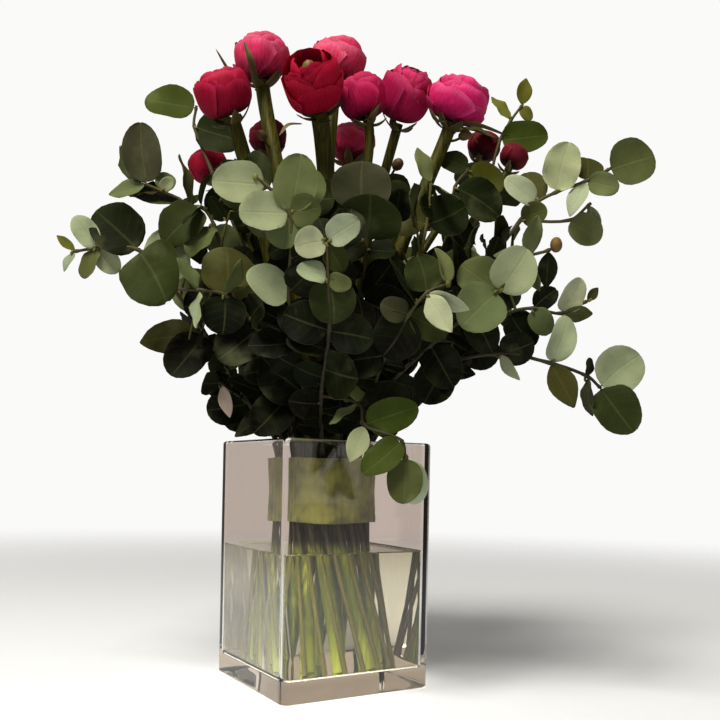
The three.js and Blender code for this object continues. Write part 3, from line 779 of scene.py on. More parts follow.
@dataclass(frozen=True)
class SepalFinish:
    """A ranunculus sepal: dull green with a paler rim and brown tip."""

    body: Colour = srgb(80, 70, 26)
    rim: Colour = srgb(112, 102, 56)
    tip: Colour = srgb(66, 36, 20)

    def material(self) -> bpy.types.Material:
        """Return the material."""
        shader = Shader("ranunculus sepal", Roughness=0.6)
        along, across = shader.mark("along"), abs(shader.mark("across"))
        mottle = shader.noise(500.0, 3.0)
        colour = shader.mix(self.body, self.rim, across.ramp(0.6, 1.0) * 0.7)
        colour = shader.mix(colour, self.tip, along.ramp(0.55, 1.0) * (0.35 + 0.6 * mottle))
        colour = shader.mix(colour, shader.mark("tint", "Color"), 0.8, "MULTIPLY")
        shader.feed("Base Color", colour)
        shader.relief(mottle, 0.0005)
        return shader.material


@dataclass(frozen=True)
class PetalFinish:
    """A thin satin petal, its colour running from its root over its body to its lip."""

    name: str
    root: Colour
    body: Colour
    lip: Colour
    streak: Colour

    def material(self) -> bpy.types.Material:
        """Return the material."""
        shader = Shader(self.name.replace("_", " "), Roughness=0.6, Specular_IOR_Level=0.1)
        along, across = shader.mark("along"), shader.mark("across")
        fan = shader.triple(across * (2.4 + 3.0 * along), along * 0.8, shader.mark("tint") * 40.0)
        veins = shader.noise(6.5, 5.0, fan)
        cloud = shader.noise(110.0, 2.0)
        colour = shader.mix(self.root, self.body, along.ramp(0.05, 0.6))
        colour = shader.mix(colour, self.streak, veins.ramp(0.45, 0.75) * (0.1 + 0.4 * cloud))
        # A paler lip and sides: partly the petal's own colour and partly a painted highlight.
        edge = (along.ramp(0.82, 1.0) + 0.6 * abs(across).ramp(0.8, 1.0)).math("MINIMUM", 1.0)
        colour = shader.mix(colour, self.lip, edge * (0.25 + 0.5 * cloud))
        colour = shader.mix(colour, self.root, veins.ramp(0.3, 0.42) * -0.5 + 0.5)
        colour = shader.mix(colour, shader.mark("tint", "Color"), 1.0, "MULTIPLY")
        shader.feed("Base Color", colour)
        shader.feed("Roughness", 0.5 + 0.22 * veins)
        shader.relief(veins, 0.0008, 0.7)
        return shader.material


class Hue(Enum):
    """The colours of the blooms, each with the record's slot as its name."""

    CRIMSON = PetalFinish(
        "petal_crimson", srgb(70, 2, 18), srgb(144, 4, 40), srgb(192, 40, 84), srgb(180, 22, 66)
    )
    PINK = PetalFinish(
        "petal_pink", srgb(124, 12, 48), srgb(192, 42, 84), srgb(222, 112, 148), srgb(214, 84, 126)
    )
    RED = PetalFinish(
        "petal_red", srgb(66, 1, 14), srgb(156, 4, 40), srgb(190, 24, 62), srgb(180, 16, 58)
    )
    MAGENTA = PetalFinish(
        "petal_magenta", srgb(80, 2, 28), srgb(158, 8, 62), srgb(204, 56, 112), srgb(188, 34, 92)
    )
    PLUM = PetalFinish(
        "petal_plum", srgb(80, 3, 32), srgb(164, 16, 72), srgb(206, 70, 122), srgb(190, 44, 100)
    )
    ROSE = PetalFinish(
        "petal_rose", srgb(116, 6, 52), srgb(194, 24, 94), srgb(220, 88, 146), srgb(212, 62, 124)
    )
    DARK_RED = PetalFinish(
        "petal_dark_red", srgb(40, 3, 12), srgb(96, 8, 28), srgb(124, 24, 44), srgb(116, 18, 40)
    )


@dataclass(frozen=True)
class GlassFinish:
    """Clear pressed glass with a faint warm tint and soft unevenness."""

    tint: Colour = (0.965, 0.95, 0.94, 1.0)
    base_tint: Colour = (0.60, 0.55, 0.43, 1.0)
    base_line: tuple[float, float] = (0.009, 0.016)

    def material(self) -> bpy.types.Material:
        """Return the material."""
        shader = Shader("vase glass", Roughness=0.0, IOR=1.5, Transmission_Weight=1.0)
        share = shader.height().ramp(*self.base_line)
        shader.feed("Base Color", shader.mix(self.base_tint, self.tint, share))
        shader.relief(shader.noise(16.0, 1.0), 0.0014, 0.3)
        return shader.material


@dataclass(frozen=True)
class WaterFinish:
    """Still water that the stems have tinged olive."""

    tint: Colour = (0.82, 0.77, 0.58, 1.0)

    def material(self) -> bpy.types.Material:
        """Return the material."""
        shader = Shader(
            "water", Base_Color=self.tint, Roughness=0.0, IOR=1.333, Transmission_Weight=1.0
        )
        shader.relief(shader.noise(30.0, 1.0), 0.0006, 0.2)
        return shader.material


@dataclass(frozen=True)
class WrapFinish:
    """Soft olive wrapping fabric with a fine crosswise weave."""

    body: Colour = srgb(124, 122, 50)
    fold: Colour = srgb(60, 60, 14)

    def material(self) -> bpy.types.Material:
        """Return the material."""
        shader = Shader("binding wrap", Roughness=0.75, Sheen_Weight=0.3)
        threads = shader.noise(1.0, 2.0, shader.stretched(900.0, 900.0, 3600.0))
        soft = shader.noise(70.0, 3.0)
        colour = shader.mix(self.fold, self.body, soft.ramp(0.3, 0.65))
        colour = shader.mix(colour, self.fold, threads.ramp(0.5, 0.8) * 0.35)
        shader.feed("Base Color", colour)
        shader.relief(0.5 * soft + 0.5 * threads, 0.0009)
        return shader.material


@dataclass(frozen=True)
class FloorFinish:
    """A plain pale floor that thins out into the surroundings far from the part."""

    colour: Colour = (0.82, 0.85, 0.98, 1.0)
    fade: tuple[float, float] = (0.35, 1.5)

    def material(self) -> bpy.types.Material:
        """Return the material."""
        shader = Shader("pale floor", Roughness=0.9)
        away = shader.node(
            "ShaderNodeVectorMath", {"operation": "LENGTH"}, {0: shader.place()}, output="Value"
        )
        shader.feed("Base Color", shader.dim(self.colour, 0.985 + 0.03 * shader.noise(60.0, 3.0)))
        shader.feed("Alpha", 1 - away.ramp(*self.fade))
        return shader.material


class Finishes:
    """The materials that several pieces share, each made once."""

    def __init__(self) -> None:
        """Make them."""
        self.leaf = LeafFinish().material()
        self.bark = BarkFinish().material()
        self.stem = StemFinish().material()
        self.sepal = SepalFinish().material()
        self.petals = {hue: hue.value.material() for hue in Hue}


# ---------- Eucalyptus ----------

LEAF_CUP = 0.12
LEAF_DROOP = 0.06
LEAF_ROOT = 0.5
SMALL_LEAF_LENGTH = 16.0
LEAF_THICKNESS = 0.45
LEAF_STALK = 0.03
LEAF_ROWS = 12
LEAF_COLUMNS = 9
SLIM_LEAF = 0.62

# What varies from leaf to leaf: as shares of the width, how far its middle bows aside and how deep
# its midrib's groove is, as shares of the length its ripples and the curl of its tip, how many
# ripples it has, and its twist in degrees.
LEAF_SKEW = 0.05
LEAF_GROOVE = 0.018
GROOVE_REACH = 0.16
LEAF_WAVE = (0.015, 0.05)
LEAF_CURL = (-0.12, 0.05)
LEAF_RIPPLES = (1.0, 2.2)
LEAF_TWIST = 15

# The corners that a plain leaf of the frame has, as shares of its length and width.
LARGE_CORNERS = ((0.3, 0.48), (0.78, 0.44), (1.0, 0.0), (0.78, -0.44), (0.3, -0.48))
SMALL_CORNERS = ((0.4, 0.5), (0.92, 0.3), (0.92, -0.3), (0.4, -0.5))

# The ways in which the frame's leaves are bent clear of their neighbours: clock, lean and turn
# in degrees, and size. The one that a leaf has is the one whose corners are found in the frame.
BENDS = (
    (0, 0, 0, 1), (8, 0, 0, 1), (-8, 0, 0, 1), (0, 12, 0, 1), (0, -12, 0, 1), (0, 0, 25, 1),
    (0, 0, -25, 1), (14, 12, 0, 0.95), (-14, 12, 0, 0.95), (14, -12, 0, 0.95),
    (-14, -12, 0, 0.95), (0, 25, 20, 0.9), (0, -25, -20, 0.9), (20, 20, 30, 0.85),
    (-20, -20, -30, 0.85), (-20, 20, 40, 0.8), (20, -20, -40, 0.8), (0, 40, 0, 0.75),
    (0, -40, 0, 0.75), (32, 0, 60, 0.7), (-32, 0, -60, 0.7), (40, 30, 20, 0.65),
    (-40, -30, -20, 0.65),
)
CORNER_MATCH = 0.06


@dataclass(frozen=True)
class Leaf:
    """A leaf at a knot of its twig.

    Attributes:
        knot: The knot it grows from.
        length: Its length.
        width: Its width.
        clock: The way it points, in degrees from upright towards the right.
        lean: How far it leans towards the front, in degrees.
        turn: How far it is turned about its own midrib, in degrees.
        tone: The colour of its upper face.
    """

    knot: int
    length: float
    width: float
    clock: float
    lean: float
    turn: float
    tone: Tone

    def bent(self, bend: Sequence[float]) -> "Leaf":
        """Return the leaf after a bend, an entry of BENDS."""
        clock, lean, turn, size = bend
        return Leaf(
            self.knot, self.length * size, self.width * size,
            self.clock + clock, self.lean + lean, self.turn + turn, self.tone,
        )

    def axes(self, facing: np.ndarray) -> np.ndarray:
        """Return the leaf's own axes.

        Args:
            facing: The way that the spray's leaves face.

        Returns:
            The axes as columns: across it, along it, and out of its face.
        """
        along = turned(UP, facing, math.radians(-self.clock))
        side = unit(np.cross(along, facing))
        along = turned(along, side, math.radians(self.lean))
        side = turned(side, along, math.radians(self.turn))
        return np.column_stack((side, along, np.cross(side, along)))

    def rise(self, along: np.ndarray, aside: np.ndarray) -> np.ndarray:
        """Return how far the blade stands off its own plane.

        Args:
            along: Shares of the length.
            aside: Distances from the midrib.

        Returns:
            The heights, its long edges raised and its tip drooping.
        """
        cup = self.width * LEAF_CUP * (2 * aside / self.width) ** 2
        return cup - self.length * LEAF_DROOP * along**2

    def corners(self, small: bool) -> np.ndarray:
        """Return the corners of the frame's plain leaf, in the leaf's own axes."""
        rows = np.array(SMALL_CORNERS if small else LARGE_CORNERS)
        along, aside = rows[:, 0], rows[:, 1] * self.width
        return np.column_stack(
            (aside, LEAF_ROOT + along * self.length, self.rise(along, aside))
        )

    def outline(self, along: np.ndarray) -> np.ndarray:
        """Return half the blade's width.

        Args:
            along: Shares of its own length.

        Returns:
            Half the width at each.
        """
        if self.width / self.length < SLIM_LEAF:
            share = np.sin(math.pi * along**0.88) ** 0.8
        else:
            share = (1 - np.abs(2 * along**0.86 - 1) ** 2.3) ** 0.5
        return share * self.width / 2

    def grid(
        self, rng: random.Random, rows: int = LEAF_ROWS, columns: int = LEAF_COLUMNS
    ) -> np.ndarray:
        """Return the blade's points in the leaf's own axes.

        Args:
            rng: The draws that vary it.
            rows: How many rows it has along it.
            columns: How many columns it has across it.

        Returns:
            The points, rows by columns.
        """
        spread = (1 - np.cos(np.linspace(0, math.pi, rows))) / 2
        blade = np.clip(spread, 0.002, 0.998)[:, None]
        across = np.sin(np.linspace(-math.pi / 2, math.pi / 2, columns))[None, :]
        aside = self.outline(blade) * across
        along = LEAF_STALK + (1 - LEAF_STALK) * blade
        skew = rng.uniform(-LEAF_SKEW, LEAF_SKEW) * self.width
        wave = rng.uniform(*LEAF_WAVE) * self.length
        phase, ripples = rng.uniform(0, 2 * math.pi), rng.uniform(*LEAF_RIPPLES)
        curl = rng.uniform(*LEAF_CURL) * self.length
        twist = math.radians(rng.uniform(-LEAF_TWIST, LEAF_TWIST))
        height = self.rise(along, aside) + curl * blade**3
        height = height + wave * across**2 * np.sin(ripples * 2 * math.pi * blade + phase)
        groove = LEAF_GROOVE * self.width * np.exp(-((across / GROOVE_REACH) ** 2))
        height = height - groove * (1 - blade**2)
        height = height + aside * math.tan(twist) * (blade - 0.3)
        bow = skew * np.sin(math.pi * blade)
        return np.stack(
            np.broadcast_arrays(aside + bow, LEAF_ROOT + along * self.length, height), axis=-1
        )


@dataclass(frozen=True)
class Twig:
    """A twig and what grows on it.

    Attributes:
        route: Its knots above the neck.
        leaves: Its leaves.
        start: The twig and knot that it grows from, or None where it rises from the vase.
        buds: Its flower buds, each a knot and a radius.
    """

    route: tuple[Point, ...]
    leaves: tuple[Leaf, ...]
    start: tuple[int, int] | None = None
    buds: tuple[tuple[int, float], ...] = ()


@dataclass(frozen=True)
class Spray:
    """A eucalyptus spray: where it stands on the ring of twigs, its twigs, and the way it faces.

    Attributes:
        azimuth: Its place at the neck, in degrees.
        twigs: Its twigs, the first one rising from the vase.
        facing: The azimuth that its leaves face.
    """

    azimuth: float
    twigs: tuple[Twig, ...]
    facing: float = -90.0


def foliage(*rows: tuple[int, float, float, float, float, float, Tone]) -> tuple[Leaf, ...]:
    """Return leaves from rows, each a leaf's attributes in their order."""
    return tuple(Leaf(*row) for row in rows)


PALE, LIGHT, GREY, MID, GREEN, OLIVE, YELLOW, MOSS, DARK, BROWN, SLATE, MAUVE = Tone

# The sprays that the front shows: each one's azimuth at the neck and its twigs, and for each twig
# its knots, its leaves and, where it has them, what it grows from and its buds.
FRONT_SPRAYS = (
    Spray(162, (Twig((
        (-34, 13, 180), (-54, 14, 268), (-78, 16, 327), (-90, 17, 356), (-89, 17, 368),
    ), foliage(
        (4, 34, 25, -80, 0, 15, GREEN), (3, 34, 26, 106, 5, 0, DARK),
        (2, 26, 22, 120, -40, 0, DARK), (1, 32, 28, -70, -30, 0, DARK),
        (1, 30, 28, 110, -35, 0, DARK), (0, 30, 26, -90, -30, 0, DARK),
    )),)),
    Spray(180, (Twig((
        (-42, -6, 175), (-63, -18, 235), (-85, -28, 290), (-100, -30, 298), (-108, -31, 301),
    ), foliage(
        (4, 36, 23, -6, 5, 10, SLATE), (4, 38, 17, -36, -22, 0, MOSS),
        (4, 24, 12, -101, -5, 20, GREY), (3, 13, 12, 22, -15, 10, GREY),
        (3, 10, 8, 50, 15, 10, LIGHT), (3, 24, 16, -84, 10, 62, BROWN),
        (2, 39, 20, -71, 0, 50, MOSS), (1, 32, 28, -75, 10, 0, GREY), (1, 30, 26, 40, -5, 0, MID),
        (0, 30, 26, -70, -10, 0, OLIVE),
    )),)),
    Spray(198, (Twig((
        (-45, -22, 172), (-71, -32, 212), (-91, -40, 240), (-108, -46, 258), (-131, -48, 258),
        (-144, -48, 256),
    ), foliage(
        (3, 33, 30, -47, 8, 10, DARK), (3, 38, 38, 150, 20, 12, MOSS),
        (4, 22, 14, -38, 20, 0, LIGHT), (4, 19, 15, 140, 20, 20, LIGHT),
        (4, 20, 14, 194, -10, 30, MID), (5, 14, 6, -50, 0, 20, YELLOW),
        (5, 13, 7, 211, 10, 30, PALE), (1, 42, 21, -96, -8, 0, OLIVE),
        (1, 33, 26, -146, 20, 10, BROWN), (2, 31, 28, -12, 15, 0, LIGHT),
        (0, 26, 22, -100, 5, 0, DARK),
    )), Twig((
        (-61, -30, 183),
    ), foliage(
        (0, 21, 9, 165, 10, 20, MAUVE),
    ), start=(0, 0)),)),
    Spray(216, (Twig((
        (-34, -26, 174), (-52, -40, 231), (-65, -44, 274), (-72, -44, 284), (-80, -42, 285),
    ), foliage(
        (4, 31, 16, -6, 0, 78, OLIVE), (4, 15, 12, 8, -18, 0, DARK), (3, 28, 20, 78, -5, 10, DARK),
        (3, 30, 25, -135, 5, 10, MOSS), (2, 25, 17, -145, 15, 30, MID),
        (2, 22, 20, 150, -10, 10, GREY), (1, 30, 26, -100, 10, 0, DARK),
        (1, 30, 26, 140, 0, 0, DARK), (3, 28, 10, 208, 24, 40, DARK),
    )),)),
    Spray(234, (Twig((
        (-22, -38, 173), (-37, -54, 212), (-55, -60, 230), (-69, -62, 232), (-80, -63, 232),
    ), foliage(
        (3, 22, 10, 186, 15, 45, LIGHT), (3, 21, 12, -34, 10, 50, GREY),
        (2, 27, 29, 0, 0, 8, OLIVE), (2, 22, 25, 182, 5, 0, DARK), (2, 23, 10, 24, 18, 55, MID),
        (1, 28, 30, 75, 8, 0, DARK), (1, 28, 26, -130, 10, 10, BROWN),
        (0, 35, 14, -70, 12, 25, BROWN), (0, 36, 15, -125, 5, 20, BROWN),
        (0, 30, 24, -142, 28, 0, BROWN),
    )),)),
    Spray(252, (Twig((
        (-10, -44, 176), (-18, -68, 226), (-17, -74, 257), (-18, -76, 272), (-31, -76, 287),
        (-37, -77, 291),
    ), foliage(
        (4, 29, 23, -88, 10, 0, LIGHT), (3, 31, 24, 11, 15, 0, GREY), (3, 31, 22, 27, -15, 0, MID),
        (3, 27, 23, -92, 18, 12, LIGHT), (3, 17, 18, 75, 20, 10, MID), (3, 19, 22, 195, 8, 0, GREY),
        (2, 24, 17, -75, 10, 20, DARK), (1, 27, 22, -57, 15, 20, LIGHT),
        (1, 22, 24, 150, 5, 0, DARK), (0, 32, 30, -50, 10, 0, DARK), (0, 30, 28, 60, 10, 0, DARK),
    ), buds=((5, 1.8),)),)),
    Spray(270, (Twig((
        (0, -52, 175), (5, -78, 208), (4, -86, 235), (3, -88, 254),
    ), foliage(
        (3, 20, 16, 60, 15, 0, PALE), (3, 17, 17, -105, 12, 0, PALE),
        (3, 14, 11, -20, -10, 0, DARK), (3, 18, 13, 150, -12, 0, MOSS),
        (2, 17, 14, -78, 22, 25, LIGHT), (2, 13, 10, 112, 15, 20, GREY),
        (2, 24, 25, 172, -8, 0, MOSS), (1, 26, 24, -70, 0, 0, DARK), (1, 24, 22, 100, 0, 0, DARK),
    )), Twig((
        (22, -60, 170), (25, -67, 158), (37, -71, 153), (46, -72, 149), (48, -71, 140),
    ), foliage(
        (0, 21, 13, -9, 0, 25, MID), (1, 31, 20, 72, 15, 10, GREEN), (0, 20, 10, -123, 5, 60, GREY),
        (1, 22, 13, 200, 10, 10, LIGHT), (3, 28, 18, -130, 12, 20, GREEN),
        (4, 25, 20, 184, 12, 10, MID), (4, 27, 17, 164, -6, 0, PALE),
    ), start=(0, 0), buds=((4, 1.8),)),)),
    Spray(288, (Twig((
        (13, -34, 177), (22, -50, 231), (24, -56, 263), (22, -58, 278),
    ), foliage(
        (3, 30, 34, -2, 0, 0, SLATE), (2, 26, 37, 5, 35, 0, MOSS), (2, 28, 22, -120, 5, 20, DARK),
        (1, 34, 20, 40, 10, 30, BROWN), (1, 30, 28, 110, 0, 0, DARK), (1, 28, 26, -90, -5, 0, DARK),
        (0, 30, 28, 60, 0, 0, BROWN),
    )),)),
    Spray(306, (Twig((
        (26, -46, 168), (61, -66, 203), (82, -74, 220), (96, -78, 231), (111, -76, 250),
        (124, -75, 255), (128, -75, 258),
    ), foliage(
        (3, 28, 28, -135, 18, 0, GREY), (3, 27, 25, 35, 12, 10, LIGHT),
        (3, 27, 23, -48, -18, 0, MID), (4, 24, 12, 17, 5, 25, GREY), (4, 17, 9, -78, -10, 20, GREY),
        (4, 19, 9, 158, 5, 40, MID), (5, 20, 11, 180, -15, 10, DARK), (2, 24, 18, 150, 0, 10, DARK),
        (1, 26, 22, 150, 5, 0, DARK),
    ), buds=((6, 3.4),)), Twig((
        (36, -72, 196), (48, -82, 217), (57, -86, 228), (68, -86, 233),
    ), foliage(
        (2, 20, 21, -16, 5, 0, MOSS), (3, 20, 13, -12, 0, 20, GREY), (2, 24, 11, 118, 15, 40, PALE),
        (2, 26, 14, 151, 20, 20, PALE), (1, 16, 14, -72, 10, 0, SLATE),
        (1, 26, 26, -148, 5, 0, BROWN), (1, 24, 18, 120, -12, 0, MOSS),
        (0, 26, 22, -100, 0, 0, DARK),
    ), start=(0, 0), buds=((3, 1.8),)),)),
    Spray(324, (Twig((
        (34, -34, 166), (69, -52, 193), (100, -60, 200), (129, -62, 195), (150, -62, 188),
        (157, -62, 182),
    ), foliage(
        (5, 28, 27, 50, 10, 0, LIGHT), (5, 31, 26, 146, 15, 0, MOSS),
        (4, 22, 12, 180, 5, 72, SLATE), (4, 10, 10, 5, 5, 50, BROWN),
        (3, 27, 17, 22, 10, 20, LIGHT), (3, 28, 16, 153, 10, 10, OLIVE),
        (2, 20, 19, 72, 10, 0, DARK), (2, 19, 8, 148, 20, 40, LIGHT),
        (1, 23, 23, -155, 10, 0, DARK), (1, 18, 17, 60, 5, 0, DARK), (1, 20, 10, 105, 10, 20, DARK),
    )),)),
    Spray(342, (Twig((
        (42, -20, 170), (78, -36, 211), (108, -46, 226), (121, -50, 228), (137, -52, 225),
        (151, -53, 232),
    ), foliage(
        (4, 22, 14, 28, 10, 10, PALE), (4, 18, 10, 84, 0, 30, MID), (3, 19, 13, 50, -12, 0, DARK),
        (3, 17, 14, 150, 5, 20, GREY), (2, 24, 20, 140, -5, 0, DARK),
        (2, 26, 22, -20, -15, 0, DARK), (1, 28, 24, 110, 0, 0, DARK),
        (1, 28, 26, -30, -10, 0, DARK), (5, 10, 6, 40, 0, 10, OLIVE),
    )), Twig((
        (52, -28, 236), (60, -33, 280), (62, -34, 304),
    ), foliage(
        (2, 22, 11, -22, 10, 20, GREY), (1, 28, 26, 60, -10, 0, DARK),
        (1, 26, 24, -70, -10, 0, OLIVE), (0, 30, 28, 100, 0, 0, DARK), (0, 28, 26, -60, 5, 0, DARK),
        (2, 28, 14, 133, 10, 78, GREY),
    ), start=(0, 0)),)),
    Spray(0, (Twig((
        (48, -6, 177), (88, -22, 243), (116, -32, 284), (125, -34, 294), (136, -35, 300),
        (154, -36, 307), (167, -36, 314),
    ), foliage(
        (6, 28, 28, 72, 5, 0, MID), (5, 17, 18, 5, -15, 0, OLIVE), (5, 19, 14, 105, 10, 10, GREY),
        (4, 29, 22, 13, 0, 0, LIGHT), (5, 24, 12, 208, 12, 30, PALE),
        (3, 22, 18, -13, -15, 0, OLIVE), (3, 23, 15, -55, 15, 10, PALE),
        (2, 16, 14, 60, 18, 10, MID), (1, 30, 26, -20, -10, 0, MID), (1, 28, 24, 120, 0, 0, MID),
    )), Twig((
        (147, -24, 287), (160, -20, 298),
    ), foliage(
        (0, 22, 19, 120, 5, 0, GREY), (1, 20, 10, 165, 5, 50, LIGHT),
    ), start=(0, 2)),)),
    Spray(18, (Twig((
        (42, 9, 185), (66, 0, 251), (77, -4, 292), (79, -9, 311), (87, -9, 322),
    ), foliage(
        (3, 33, 25, 122, 5, 0, DARK), (4, 26, 18, 108, -18, 0, YELLOW),
        (4, 20, 14, -60, -5, 0, MOSS), (2, 26, 24, -70, -20, 0, DARK),
        (2, 24, 22, 150, -25, 0, DARK), (1, 30, 28, 60, -20, 0, DARK),
        (1, 28, 26, -60, -20, 0, GREY),
    )),)),
    Spray(36, (Twig((
        (40, 26, 190), (79, 24, 266), (104, 26, 324), (112, 27, 355), (119, 27, 368),
        (126, 27, 378),
    ), foliage(
        (5, 19, 11, 10, 0, 10, YELLOW), (5, 11, 8, 147, 5, 10, YELLOW),
        (4, 20, 9, -38, 5, 20, YELLOW), (3, 32, 22, 82, 5, 0, GREEN),
        (3, 30, 14, -70, 5, 60, OLIVE), (2, 28, 20, 100, -10, 0, DARK),
        (2, 24, 20, -60, -10, 0, DARK), (1, 30, 26, 90, -20, 0, DARK),
        (1, 28, 24, -60, -20, 0, DARK),
    )),)),
)

# The back of the bouquet is set out by rule: the azimuth at the neck, and at the tip the
# azimuth, reach and height.
BACK_TIPS = (
    (54, 42, 122, 285), (72, 62, 104, 232), (90, 84, 96, 305), (108, 108, 112, 236),
    (126, 128, 98, 315), (144, 150, 124, 262),
)
BACK_ROOT = 36.0
BACK_START = 178.0
BACK_KNOTS = 5
BACK_SEED = 4711
BACK_LENGTHS = (34.0, 17.0)
BACK_BOW = 0.16
BACK_TONES = (MID, DARK, GREY, LIGHT, OLIVE)

# The dense middle, which side twigs and leaves fill by rule: how far it reaches from its own
# middle line at some levels, the levels that its twigs start at and those that its leaves keep
# above, and the level below which a knot gets more leaves.
FILL_REACH = ((152, 66), (180, 84), (210, 100), (250, 112), (290, 108), (318, 84))
FILL_CENTRE = 8.0
FILL_LEVELS = (153.0, 300.0)
FILL_FLOOR = 151.5
FILL_LOW = 192.0

# How many places each span of a twig offers, how often each is tried, and what grows there: the
# side twigs' lengths, radii, points, knots with leaves, angles from their parent and towards the
# outside, and sag as a share of length, and the leaves' lengths, grid and colours.
FILL_STEPS = 7
FILL_SEED = 90
FILL_TRIES = 6
FILL_TWIG = (20.0, 42.0)
FILL_RADII = (0.9, 0.55)
FILL_POINTS = 8
FILL_KNOTS = (3, 5, 7)
FILL_CLOCK = (25, 75)
FILL_TILT = (-15, 45)
FILL_SAG = 0.15
FILL_LEAF = (19.0, 31.0)
FILL_GRID = (9, 7)
FILL_TONES = (DARK,) * 8 + (MOSS,) * 4 + (BROWN,) * 3 + (OLIVE,) * 2 + (MID,) * 2 + (GREEN,)

# Painted shade on the leaves: the share of its colour that a leaf keeps at the middle line and at
# the outside, and at some levels. Front leaves of the darker tones listed next get this painted
# shade too, and none of the fill hides the shown ones.
FILL_SHADE = (0.2, 1.0)
FILL_SHADE_LEVELS = ((236, 0.12), (300, 1.0))
PAINTED_SHADE_TONES = (DARK, BROWN)
SHOWN_TONES = (PALE, LIGHT, GREY, SLATE, MAUVE)
SHOWN_REACH = 0.42
HIDING_REACH = 0.35


class Draws:
    """Repeatable draws between two values."""

    factor: int = 16807
    limit: int = 2147483647

    def __init__(self, seed: int) -> None:
        """Start from a seed."""
        self.state = seed

    def between(self, low: float, high: float) -> float:
        """Return the next draw."""
        self.state = self.state * self.factor % self.limit
        return lerp(low, high, self.state / self.limit)


def back_spray(
    azimuth: float, tip_azimuth: float, reach: float, height: float, draws: Draws
) -> Spray:
    """Set out a spray at the back by its rule.

    Args:
        azimuth: Its place at the neck, in degrees.
        tip_azimuth: The azimuth of its tip.
        reach: How far out its tip is.
        height: How high its tip is.
        draws: The draws that vary its leaves.

    Returns:
        The spray.
    """
    shares = [i / BACK_KNOTS for i in range(BACK_KNOTS + 1)]
    route = []
    for t in shares:
        bow = BACK_BOW * (height - BACK_START) * math.sin(math.pi * t)
        angle = math.radians(lerp(azimuth, tip_azimuth, t))
        route.append(
            tuple(on_circle(lerp(BACK_ROOT, reach, t), angle, lerp(BACK_START, height, t) + bow))
        )
    tones = random.Random(int(azimuth))
    leaves = []
    for knot in range(1, BACK_KNOTS + 1):
        length = lerp(*BACK_LENGTHS, (knot - 1) / (BACK_KNOTS - 1))
        pair = (0, 180) if knot % 2 == 0 else (-90, 90)
        for clock in (-55, 5, 65) if knot == BACK_KNOTS else pair:
            size = length * draws.between(0.85, 1.1)
            width = size * draws.between(0.8, 1)
            place = (clock + draws.between(-18, 18), draws.between(5, 40), draws.between(-20, 20))
            leaves.append(Leaf(knot, size, width, *place, tones.choice(BACK_TONES)))
    twig = Twig(tuple(route), tuple(leaves))
    return Spray(azimuth, (twig,), (azimuth + tip_azimuth) / 2)


